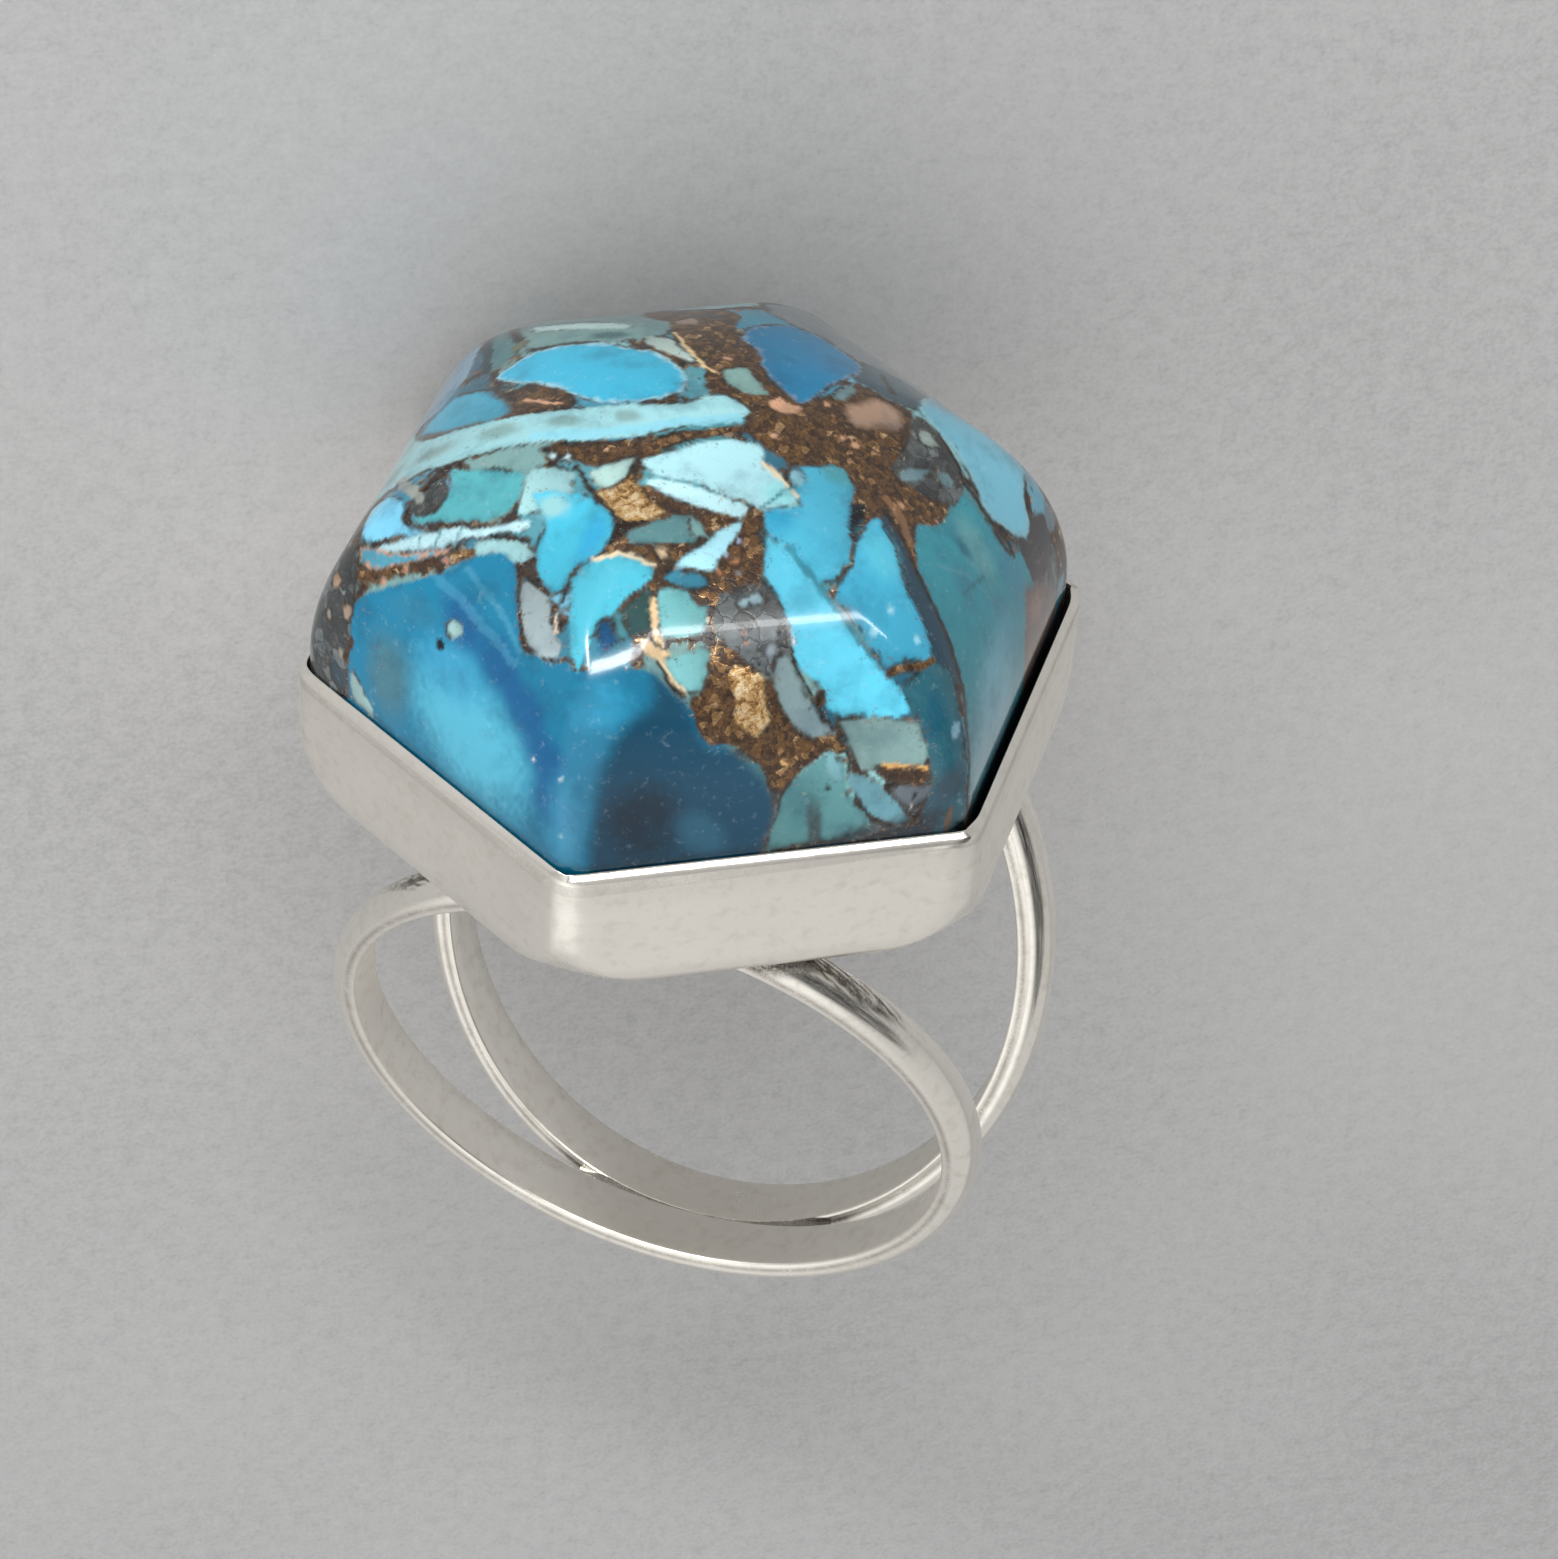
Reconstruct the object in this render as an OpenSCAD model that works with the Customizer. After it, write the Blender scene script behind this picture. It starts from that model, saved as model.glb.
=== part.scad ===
// Ring with a domed six-sided turquoise block in a low silver cup, on a shank of two bands.
// The bands are soldered together at the bottom and part to the front and the back on their way up.
// The ring lies on one flat of its cup, as it would on a table. Millimetres, +Z up.

/* [Finger hole] */
// Inner diameter of the shank, US ring size 8.5
finger_d = 18.5; // [16:0.1:20]
// Depth of the finger hole's centre below the cup's rim line
hole_depth = 13.48; // [13.2:0.02:14.4]
// Sideways shift of the shank under the cup
hole_shift = 0.15; // [-0.3:0.05:0.3]

/* [Bands] */
// Width of one band at the bottom of the shank
band_w = 1.96; // [1.6:0.02:2.4]
// Share of that width that a band has lost at its top
band_taper = 0.25; // [0:0.05:0.4]
// Thickness of a band at its crown
band_t = 0.95; // [0.8:0.05:1.4]
// Thickness of a band at its side edges
band_edge_t = 0.35; // [0.3:0.05:0.6]
// Distance from the seam to a band's centre line at the bottom
seam_half = 0.93; // [0.85:0.01:1]
// Sideways run of a band for each millimetre that it rises
splay = 0.248; // [0.1:0.002:0.28]
// Growth of that run with the square of the rise, per millimetre
flare = 0.0066; // [0:0.0002:0.007]
// Half the angle over which solder joins the two bands at the bottom
solder_angle = 26; // [15:1:40]
// Width of the solder between the bands
solder_w = 0.7; // [0.6:0.05:1]
// How far that solder stays below the bands' crowns
solder_low = 0.15; // [0.1:0.05:0.3]

/* [Cup] */
// Distance across the cup's flats
cup_flats = 20.44; // [18:0.02:24]
// Depth of the cup below its rim line, down to its flat back
cup_h = 4.1; // [3.2:0.05:4.6]
// Thickness of the wall
wall_t = 0.25; // [0.2:0.01:0.5]
// Height of the lip that is burnished over, above the rim line
lip_h = 0.45; // [0.2:0.05:0.8]
// Thickness of the lip at its top
lip_t = 0.12; // [0.08:0.01:0.2]
// Thickness of the back plate
plate_t = 0.8; // [0.6:0.05:1.2]
// Radius of the rounded lower edge under the flats
under_r = 0.9; // [0.4:0.05:1.2]
// Radius over which the back is turned away below the six corners
turned_r = 2.0; // [1.2:0.1:2.6]
// How far the six upright corners are taken back
corner_cut = 0.2; // [0.1:0.05:0.6]
// Corner radius of the cavity
cavity_corner_r = 1.05; // [0.9:0.05:1.6]

/* [Stone] */
// Gap between the stone and the wall, all round on average
stone_gap = 0.12; // [0.1:0.01:0.3]
// Cement between the stone's flat back and the plate
stone_bed = 0.06; // [0.05:0.01:0.2]
// How far the stone sits off centre, away from the wall on its right
stone_shift = 0.08; // [0:0.01:0.09]
// Height above the rim line at which the stone's sides start to curve
side_h = 0.85; // [0.5:0.05:2]
// Radius of the shoulder
shoulder_r = 7.2; // [5:0.1:8]
// Angle that the shoulder turns through before the flatter top begins
shoulder_angle = 47; // [35:1:60]
// Corner radius of the stone at its flat back
corner_r_back = 5.0; // [4.5:0.1:7]
// Corner radius of the stone at the rim
corner_r_low = 1.0; // [0.8:0.05:2]
// Corner radius of the stone near the top
corner_r_top = 3.1; // [2:0.1:5]

/* [Shank against the cup] */
// Lean of the cup to the right on the shank, in degrees
lean = 4.6; // [0:0.1:6]
// Nod of the cup to the front, in degrees
nod = 2.8; // [0:0.1:4]
// Turn of the cup about its own axis, in degrees
turn = 1.7; // [0:0.1:4]

/* [Hidden] */
$fn = 96;
r_in = finger_d / 2;
half_flats = cup_flats / 2;
cavity = half_flats - wall_t;
cos_hex = cos(30);
silver = [0.80, 0.79, 0.76];
turquoise = [0.20, 0.60, 0.70];
// The ring lies on the cup's flat that faces this way about the cup's axis
rest_flat = 120;
// Moves the lying ring until its box stands on the origin
rest_move = [0, -7.286, 10.22];
// What the bands' section has inside the finger hole before the hole is cut, and how deep they enter the plate
spare = 0.3;
bands_in_plate = 0.5;
// How finely the curves are stepped: round a band, over its crown, round the cup's lower edge,
// up the turned back, round one corner of the cavity or the stone, and up the dome in degrees
band_rings = 72;
crown_steps = 8;
under_steps = 6;
turned_steps = 10;
corner_steps = 6;
dome_step = 4;
// The most of an outline's reach that its rounded corners may take
corner_most = 0.98;

// The two bands. Angles run round the finger hole from its lowest point.
function rise(a) = r_in * (1 - cos(a));
function side_run(a) = seam_half + splay * rise(a) + flare * pow(rise(a), 2);
function side_slope(a) = (splay + 2 * flare * rise(a)) * sin(a);
function band_half(a) = band_w / 2 * (1 - band_taper * rise(a) / finger_d);

// Half-round section as [across, outwards from the finger's surface]
function band_section(half) = concat(
    [[-half, -spare], [half, -spare]],
    [for (i = [0:crown_steps])
        let (t = 180 * i / crown_steps)
        [half * cos(t), band_edge_t + (band_t - band_edge_t) * sin(t)]]);

// A point of the section, carried along the surface of the finger hole and across the band
function band_point(a, side, p) =
    let (slope = side * side_slope(a),
         n = sqrt(1 + slope * slope),
         along = a - p[0] * slope / n / r_in * 180 / PI,
         r = r_in + p[1])
    [r * sin(along), side * side_run(a) + p[0] / n, -r * cos(along)];

module band(side) {
    count = crown_steps + 3;
    points = [for (i = [0:band_rings - 1])
        let (a = 360 * i / band_rings)
        for (p = band_section(band_half(a))) band_point(a, side, p)];
    faces = [for (i = [0:band_rings - 1], j = [0:count - 1])
        let (i2 = (i + 1) % band_rings, j2 = (j + 1) % count,
             q = [i * count + j, i2 * count + j, i2 * count + j2, i * count + j2])
        each [[q[0], q[2], q[1]], [q[0], q[3], q[2]]]];
    polyhedron(points = points, faces = faces, convexity = 8);
}

// Solder that fills the notch between the bands as far as they part
module seam_solder() {
    rotate([90, 0, 0])
        rotate([0, 0, -90 - solder_angle])
            rotate_extrude(angle = 2 * solder_angle)
                translate([r_in - spare, -solder_w / 2])
                    square([spare + band_t - solder_low, solder_w]);
}

module shank() {
    difference() {
        union() {
            band(-1);
            band(1);
            seam_solder();
        }
        rotate([90, 0, 0])
            cylinder(h = 3 * finger_d, r = r_in, center = true);
    }
}

// Outline with six flats at the given reach and rounded corners
function rounded_hexagon(reach, r) =
    let (core = (reach - r) / cos_hex)
    [for (k = [0:5], i = [0:corner_steps])
        let (v = 30 + 60 * k, t = v - 30 + 60 * i / corner_steps)
        [core * cos(v) + r * cos(t), core * sin(v) + r * sin(t)]];

// A prism with the given outline across the flats, laid along one pair of the six sides
module across_flats(k, outline) {
    rotate([0, 0, 60 * k])
        rotate([90, 0, 0])
            linear_extrude(height = 2 * cup_flats, center = true)
                polygon(outline);
}

function mirrored(half_outline) = concat(
    half_outline,
    [for (i = [len(half_outline) - 1:-1:0]) [-half_outline[i][0], half_outline[i][1]]]);

// Right half of the cup's outline across its flats: rounded below, straight, and a burnished lip
function cup_outline() = mirrored(concat(
    [for (i = [0:under_steps])
        let (t = 90 * i / under_steps)
        [half_flats - under_r + under_r * sin(t), -cup_h + under_r - under_r * cos(t)]],
    [[half_flats, 0], [cavity + lip_t, lip_h]]));

// Half the outline of the round bowl that takes back the corners and turns away the back below them,
// brought in by the wall's thickness for the cavity
function bowl_outline(inset) =
    let (r = turned_r - inset,
         middle = [half_flats / cos_hex - corner_cut - turned_r, -cup_h + turned_r])
    concat(
        [[0, cup_h], [0, middle[1] - r]],
        [for (i = [0:turned_steps])
            let (t = 90 * i / turned_steps)
            middle + [r * sin(t), -r * cos(t)]],
        [[middle[0] + r, cup_h]]);

module cup() {
    difference() {
        intersection() {
            intersection_for (k = [0:2]) across_flats(k, cup_outline());
            rotate_extrude() polygon(bowl_outline(0));
        }
        intersection() {
            translate([0, 0, -cup_h + plate_t])
                linear_extrude(height = 2 * cup_h)
                    polygon(rounded_hexagon(cavity, cavity_corner_r));
            rotate_extrude() polygon(bowl_outline(wall_t));
        }
    }
}

// The dome's height above the rim line and its reach, for a point given by the angle of its surface
stone_flat = cavity - stone_gap;
top_r = (stone_flat - shoulder_r * (1 - cos(shoulder_angle))) / cos(shoulder_angle);
stone_top = side_h + shoulder_r * sin(shoulder_angle) + top_r * (1 - sin(shoulder_angle));
function dome_reach(t) = t < shoulder_angle
    ? stone_flat - shoulder_r * (1 - cos(t))
    : top_r * cos(t);
function dome_height(t) = t < shoulder_angle
    ? side_h + shoulder_r * sin(t)
    : stone_top - top_r * (1 - sin(t));
function corner_r(z) = corner_r_low + (corner_r_top - corner_r_low) * pow(max(z, 0) / stone_top, 2);

// The stone's outline at height z
function stone_ring(reach, z, r) =
    [for (p = rounded_hexagon(reach, min(r, reach * corner_most))) [p[0], p[1], z]];

module stone_block() {
    bottom = -cup_h + plate_t + stone_bed;
    rings = concat(
        [stone_ring(stone_flat, bottom, corner_r_back)],
        [stone_ring(stone_flat, -cup_h + turned_r, corner_r_low)],
        [for (t = [0:dome_step:90 - dome_step])
            stone_ring(dome_reach(t), dome_height(t), corner_r(dome_height(t)))]);
    n = 6 * (corner_steps + 1);
    last = len(rings) - 1;
    points = concat([for (ring = rings) for (p = ring) p], [[0, 0, bottom], [0, 0, stone_top]]);
    faces = concat(
        [for (i = [0:last - 1], j = [0:n - 1])
            let (j2 = (j + 1) % n)
            each [[i * n + j, (i + 1) * n + j2, i * n + j2], [i * n + j, (i + 1) * n + j, (i + 1) * n + j2]]],
        [for (j = [0:n - 1]) [j, (j + 1) % n, len(points) - 2]],
        [for (j = [0:n - 1]) [last * n + (j + 1) % n, last * n + j, len(points) - 1]]);
    polyhedron(points = points, faces = faces, convexity = 4);
}

// From the cup's own frame, +Z through the stone, to the frame in which the ring lies
module lying() {
    translate(rest_move)
        rotate([0, 90, -90])
            rotate([0, 0, -rest_flat])
                children();
}

// The shank's place under the cup
module under_cup() {
    rotate([0, 0, -turn])
        rotate([-nod, 0, 0])
            rotate([0, -lean, 0])
                translate([-hole_shift, 0, -hole_depth])
                    children();
}

module silver_setting() {
    color(silver) lying() {
        cup();
        difference() {
            under_cup() shank();
            translate([0, 0, half_flats - cup_h + bands_in_plate])
                cube(cup_flats, center = true);
        }
    }
}

module stone() {
    color(turquoise) lying()
        translate([-stone_shift, 0, 0]) stone_block();
}

silver_setting();
stone();
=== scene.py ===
import bpy
import math
import numpy as np
from mathutils import Matrix, Vector, noise


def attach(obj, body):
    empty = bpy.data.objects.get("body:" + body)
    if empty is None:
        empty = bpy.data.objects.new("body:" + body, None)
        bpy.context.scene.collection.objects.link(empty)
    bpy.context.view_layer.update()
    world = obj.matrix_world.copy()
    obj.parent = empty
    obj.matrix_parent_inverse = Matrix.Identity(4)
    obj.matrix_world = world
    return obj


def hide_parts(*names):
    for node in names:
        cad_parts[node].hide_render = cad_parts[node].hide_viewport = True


# A silver ring with a domed six-sided block of turquoise pieces. Each piece is modelled in millimetres
# in the cup's own frame, +Z up through the stone and the rim line at z = 0, and is then laid on its side.

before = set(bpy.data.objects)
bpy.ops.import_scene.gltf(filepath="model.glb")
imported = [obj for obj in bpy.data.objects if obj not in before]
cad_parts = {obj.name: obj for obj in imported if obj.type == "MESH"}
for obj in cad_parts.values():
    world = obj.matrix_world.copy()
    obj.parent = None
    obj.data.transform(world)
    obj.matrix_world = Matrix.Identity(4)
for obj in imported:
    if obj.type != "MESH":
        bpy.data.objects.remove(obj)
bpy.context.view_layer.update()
print("frame loaded")

lying = {
    "flat": 120,  # the cup's flat that the ring lies on, in degrees about the cup's axis
    "move": (0, -7.286, 10.22),
}
hexAngle = math.radians(30)
mm = 0.001
tiny = 1e-9


def turned(degrees, axis):
    return Matrix.Rotation(math.radians(degrees), 4, axis)


laidDown = (Matrix.Scale(mm, 4) @ Matrix.Translation(lying["move"])
            @ turned(-90, "Z") @ turned(90, "Y") @ turned(-lying["flat"], "Z"))


def places(piece):
    flat = np.empty(3 * len(piece.data.vertices))
    piece.data.vertices.foreach_get("co", flat)
    return flat.reshape(-1, 3)


def setPlaces(piece, points):
    piece.data.vertices.foreach_set("co", np.ascontiguousarray(points, dtype=float).ravel())
    piece.data.update()


def startPiece(name, **circle):
    # a circle is the start of every piece
    bpy.ops.object.select_all(action="DESELECT")
    bpy.ops.mesh.primitive_circle_add(location=(0, 0, 0), **circle)
    piece = bpy.context.object
    piece.name = piece.data.name = name
    return piece


def choose(piece):
    bpy.ops.object.select_all(action="DESELECT")
    piece.select_set(True)
    bpy.context.view_layer.objects.active = piece


def editPiece(piece, elements):
    choose(piece)
    bpy.ops.object.mode_set(mode="EDIT")
    bpy.ops.mesh.select_mode(type=elements)
    bpy.ops.mesh.select_all(action="SELECT")


def leaveEdit():
    bpy.ops.object.mode_set(mode="OBJECT")


def closeSeams(piece, near=1e-5):
    # merges doubled points and points every face outwards
    editPiece(piece, "VERT")
    bpy.ops.mesh.remove_doubles(threshold=near)
    bpy.ops.mesh.select_all(action="SELECT")
    bpy.ops.mesh.normals_make_consistent(inside=False)
    leaveEdit()


def finishPiece(piece, node, material, angle):
    choose(piece)
    bpy.ops.object.shade_smooth_by_angle(angle=math.radians(angle))
    piece.matrix_world = laidDown
    bpy.ops.object.transform_apply(location=True, rotation=True, scale=True)
    piece.data.materials.clear()
    piece.data.materials.append(material)
    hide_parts(node)
    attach(piece, "root")


def pointNumbers(piece, name, values):
    data = piece.data.attributes.new(name, "FLOAT", "POINT").data
    data.foreach_set("value", np.ascontiguousarray(values, dtype=np.float32))


def pointColours(piece, name, colours):
    data = piece.data.attributes.new(name, "FLOAT_COLOR", "POINT").data
    full = np.ones((len(colours), 4), np.float32)
    full[:, :3] = colours
    data.foreach_set("color", full.ravel())


def smoothStep(low, high, x):
    t = np.clip((x - low) / (high - low), 0, 1)
    return t * t * (3 - 2 * t)


def softMin(a, b, soft):
    low = np.minimum(a, b)
    return low - soft * np.log(np.exp((low - a) / soft) + np.exp((low - b) / soft))


def blend(a, b, share):
    return a + (b - a) * share


def facingOf(theta):
    # the way that the nearest of the six flats faces
    return 2 * hexAngle * np.round(np.degrees(theta) / 60)


def waves(u, v, scaleU, scaleV, level):
    return np.array([noise.noise(Vector((scaleU * p, scaleV * q, level))) for p, q in zip(u, v)])


# Shader sums are written as Python, one wrapped socket at a time.
class Wire:
    def __init__(self, made, socket):
        self.made = made
        self.socket = socket

    def sum(self, operation, a, b):
        return self.made.node("ShaderNodeMath", {"operation": operation}, {0: a, 1: b})

    def __add__(self, other):
        return self.sum("ADD", self, other)

    def __radd__(self, other):
        return self.sum("ADD", other, self)

    def __sub__(self, other):
        return self.sum("SUBTRACT", self, other)

    def __rsub__(self, other):
        return self.sum("SUBTRACT", other, self)

    def __mul__(self, other):
        return self.sum("MULTIPLY", self, other)

    def __rmul__(self, other):
        return self.sum("MULTIPLY", other, self)

    def __pow__(self, other):
        return self.sum("POWER", self, other)


class Finish:
    # the nodes of one material, or of the room's light
    def __init__(self, owner, shader="Principled BSDF"):
        owner.use_nodes = True
        self.material = owner
        self.tree = owner.node_tree
        self.shader = self.tree.nodes[shader]

    def node(self, kind, settings, inputs, output=0):
        made = self.tree.nodes.new(kind)
        for key, value in settings.items():
            if key == "stops":
                self.setStops(made.color_ramp.elements, value)
            else:
                setattr(made, key, value)
        for key, value in inputs.items():
            self.plug(made.inputs[key], value)
        return Wire(self, made.outputs[output])

    def setStops(self, elements, stops):
        while len(elements) < len(stops):
            elements.new(1)
        for element, (place, colour) in zip(elements, stops):
            element.position = place
            element.color = (*colour, 1)

    def plug(self, socket, value):
        if isinstance(value, Wire):
            self.tree.links.new(value.socket, socket)
        elif isinstance(value, tuple) and len(value) == 3 and len(socket.default_value) == 4:
            socket.default_value = (*value, 1)
        else:
            socket.default_value = value

    def attribute(self, name, output="Fac"):
        return self.node("ShaderNodeAttribute", {"attribute_name": name}, {}, output)

    def stretched(self, at, scale):
        return self.node("ShaderNodeMapping", {}, {"Vector": at, "Scale": scale})

    def coordinates(self):
        # object coordinates in millimetres
        return self.stretched(self.node("ShaderNodeTexCoord", {}, {}, "Object"), (1 / mm,) * 3)

    def grain(self, at, scale, detail=3, roughness=0.5, output=0):
        inputs = {"Vector": at, "Scale": scale, "Detail": detail, "Roughness": roughness}
        return self.node("ShaderNodeTexNoise", {}, inputs, output)

    def cells(self, at, scale, feature="F1", output="Distance"):
        inputs = {"Vector": at, "Scale": scale}
        return self.node("ShaderNodeTexVoronoi", {"feature": feature}, inputs, output)

    def cellShade(self, at, scale):
        # one random number for each cell
        return self.node("ShaderNodeSeparateColor", {}, {0: self.cells(at, scale, output="Color")})

    def vectors(self, operation, inputs, output=0):
        return self.node("ShaderNodeVectorMath", {"operation": operation}, inputs, output)

    def ramp(self, value, stops):
        return self.node("ShaderNodeValToRGB", {"stops": stops}, {0: value})

    def between(self, value, low, high):
        inputs = {"Value": value, "From Min": low, "From Max": high}
        return self.node("ShaderNodeMapRange", {"interpolation_type": "SMOOTHSTEP"}, inputs)

    def mix(self, share, a, b):
        return self.node("ShaderNodeMix", {"data_type": "RGBA"}, {0: share, 6: a, 7: b}, 2)

    def bump(self, height, distance, strength):
        inputs = {"Height": height, "Distance": distance, "Strength": strength}
        return self.node("ShaderNodeBump", {}, inputs)

    def set(self, **sockets):
        for key, value in sockets.items():
            self.plug(self.shader.inputs[key.replace("_", " ")], value)


def shown(red, green, blue):
    # a colour as a screen shows it, turned into the linear one that a material takes
    parts = [c / 255 for c in (red, green, blue)]
    return tuple(c / 12.92 if c <= 0.04045 else ((c + 0.055) / 1.055) ** 2.4 for c in parts)


# Silver: satin all over, polished where a tool or a finger has rubbed it, darkened in the crevices partly
# as tarnish and partly as painted shade, and darkened on the crowns as a painted reflection
silverLook = {
    "colour": (0.95, 0.915, 0.845),
    "smudged": (0.80, 0.76, 0.68),
    "tarnish": (0.10, 0.085, 0.07),
    "satin": 0.37,            # roughness where nothing has polished it
    "polished": 0.13,
    "clouded": 0.16,          # how far the roughness wanders, broadly
    "fingered": 0.2,          # and in smudges
    "dulled": 0.25,           # roughness that the tarnish and painted shade add
    "brushed": (1.5, 16, 9),  # the scratches' grain along X, Y and Z
    "relief": 0.01,           # in millimetres
    "strength": 0.22,
}


def makeSilver():
    look = Finish(bpy.data.materials.new("satinSilver"))
    at = look.coordinates()
    polish = look.attribute("polish")
    dark = look.attribute("tarnish")
    cloud = look.grain(at, 0.55, 4, 0.6)
    smudge = look.grain(at, 2.1, 5, 0.62)
    fine = look.grain(at, 14, 4, 0.7)
    dust = look.grain(at, 55, 2, 0.6)
    scratches = look.grain(look.stretched(at, silverLook["brushed"]), 1.0)
    warm = look.mix(look.between(smudge, 0.45, 0.80), silverLook["colour"], silverLook["smudged"])
    agedAndShaded = look.mix(dark * look.between(fine + cloud, 0.55, 1.15), warm, silverLook["tarnish"])
    satin = silverLook["satin"]
    rough = satin + (cloud - 0.5) * silverLook["clouded"] + (smudge - 0.5) * silverLook["fingered"]
    rough = rough + polish * (silverLook["polished"] - satin) + dark * silverLook["dulled"]
    surface = fine * 0.5 + scratches * 0.35 + dust * 0.15
    relief = look.bump(surface, silverLook["relief"] * mm, silverLook["strength"])
    look.set(Base_Color=agedAndShaded, Metallic=1.0, Roughness=rough, Normal=relief)
    return look.material


# Stone: pieces of turquoise in a bronze matrix under a hard gloss
stoneLook = {
    "bronze": [(0.0, (0.010, 0.006, 0.004)), (0.25, (0.055, 0.028, 0.013)), (0.52, (0.17, 0.090, 0.038)),
               (0.78, (0.42, 0.25, 0.12)), (1.0, (0.85, 0.66, 0.42))],
    "rubble": [(0.0, (0.012, 0.013, 0.014)), (0.35, (0.055, 0.062, 0.063)), (0.7, (0.17, 0.20, 0.21)),
               (1.0, (0.38, 0.43, 0.43))],
    "gold": [(0.0, (0.16, 0.075, 0.025)), (0.5, (0.60, 0.36, 0.14)), (1.0, (0.88, 0.70, 0.44))],
    "vein": [(0.35, (0.006, 0.008, 0.010)), (0.75, (0.060, 0.036, 0.022))],
    "crumb": [(0.38, (0.020, 0.016, 0.014)), (0.5, (0.16, 0.080, 0.040)), (0.64, (0.50, 0.42, 0.30))],
    "pale": (0.62, 0.80, 0.82),   # clouds, depths and specks inside a piece of turquoise
    "deep": (0.0, 0.05, 0.10),
    "speck": (0.03, 0.06, 0.07),
    "flake": 4.2,                 # cells to the millimetre in the bronze
    "chip": 1.7,                  # and in the rubble
    "crooked": 0.5,               # how far their grid is bent, in millimetres
    "gloss": 0.09,
    "bending": 1.42,              # index of refraction
    "coat": 0.28,
    "coatRough": 0.035,
    "relief": 0.03,               # in millimetres
    "strength": 0.5,
    "haze": (0.020, 0.014, 0.016),  # light that the gloss adds in this room
    "lift": (1.08, 1.00, 0.99),
}


def makeStone():
    look = Finish(bpy.data.materials.new("turquoiseBlock"))
    at = look.coordinates()
    tint = look.attribute("tint", "Color")
    bronze, rubble, gold, veins, crumbs = (look.attribute(name) for name in matrixKinds)
    # clouding and specks inside each piece of turquoise
    cloud = look.grain(at, 0.75, 5, 0.6)
    mottle = look.grain(at, 3.6, 4, 0.65)
    speck = look.grain(at, 11, 3, 0.6)
    pale = look.mix(look.between(mottle, 0.56, 0.85) * 0.22, tint, stoneLook["pale"])
    darker = look.mix(0.7, tint, stoneLook["deep"])
    deep = look.mix(look.between(cloud, 0.46, 0.70) * 0.42, pale, darker)
    body = look.mix(look.between(speck, 0.66, 0.76) * 0.35, deep, stoneLook["speck"])
    # the matrix: broken flakes of metal, rubble of dark stone and crinkled gold
    bend = look.vectors("SCALE", {0: look.grain(at, 2.5, 2, output="Color"), 3: stoneLook["crooked"]})
    warped = look.vectors("ADD", {0: at, 1: bend})
    flakes = look.cellShade(warped, stoneLook["flake"])
    chips = look.cellShade(warped, stoneLook["chip"])
    flakeEdge = look.between(look.cells(warped, stoneLook["flake"], "DISTANCE_TO_EDGE"), 0.0, 0.12)
    chipEdge = look.between(look.cells(warped, stoneLook["chip"], "DISTANCE_TO_EDGE"), 0.0, 0.08)
    flake = (flakes ** 2.6) * 0.62 + mottle * 0.75 - 0.16
    flakeShade = flake * (0.84 + flakeEdge * 0.16) + (speck - 0.5) * 0.45
    chipShade = (chips * 0.45 + mottle * 0.55 - 0.10) * (0.6 + chipEdge * 0.4)
    crinkle = look.grain(warped, 3.2, 5, 0.7)
    mixed = look.mix(bronze, body, look.ramp(flakeShade, stoneLook["bronze"]))
    mixed = look.mix(rubble, mixed, look.ramp(chipShade, stoneLook["rubble"]))
    mixed = look.mix(gold, mixed, look.ramp(look.between(crinkle, 0.34, 0.66), stoneLook["gold"]))
    mixed = look.mix(veins, mixed, look.ramp(look.grain(at, 4.5), stoneLook["vein"]))
    crumbled = crumbs * look.between(look.grain(at, 6.5, 4, 0.75), 0.55, 0.66)
    mixed = look.mix(crumbled * 0.6, mixed, look.ramp(look.grain(at, 2.8, 2), stoneLook["crumb"]))
    metal = bronze * look.between(flake, 0.30, 0.62) * 0.75 + gold * 0.7
    rough = stoneLook["gloss"] + bronze * 0.12 + gold * 0.2 + rubble * 0.08 + mottle * 0.04
    height = gold * crinkle * 1.5 + bronze * flakeEdge * 0.15 + rubble * chipEdge * 0.1 + mottle * 0.05
    relief = look.bump(height, stoneLook["relief"] * mm, stoneLook["strength"])
    look.set(Base_Color=mixed, Metallic=metal, Roughness=rough, IOR=stoneLook["bending"],
             Coat_Weight=stoneLook["coat"], Coat_Roughness=stoneLook["coatRough"], Normal=relief)
    return look.material


def ofStone(red, green, blue):
    # a charted colour without the light that the gloss adds, in the light of this room
    lit = np.array(shown(red, green, blue))
    return np.clip((lit - stoneLook["haze"]) * stoneLook["lift"], 0.002, 0.95)


floor = {
    "size": 1.6,
    "tones": [(0.36, (0.395, 0.393, 0.396)), (0.5, (0.488, 0.486, 0.488)), (0.62, (0.535, 0.533, 0.533))],
    "rough": 0.85,
    "relief": 0.03,
    "strength": 0.3,
}


def makeFloor():
    look = Finish(bpy.data.materials.new("paleFloor"))
    at = look.coordinates()
    paper = look.grain(at, 1.6, 4, 0.6)
    drift = look.grain(at, 0.03, 2)
    dust = look.grain(at, 5.5, 3, 0.7)
    tone = paper * 0.3 + drift * 0.3 + dust * 0.4
    relief = look.bump(paper, floor["relief"] * mm, floor["strength"])
    look.set(Base_Color=look.ramp(tone, floor["tones"]), Roughness=floor["rough"], Normal=relief)
    return look.material


# What lies between the pieces of turquoise, each an attribute of the stone
matrixKinds = ("bronze", "rubble", "gold", "veins", "crumbs")
satinSilver = makeSilver()
turquoiseBlock = makeStone()
paleFloor = makeFloor()
print("materials made")

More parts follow.
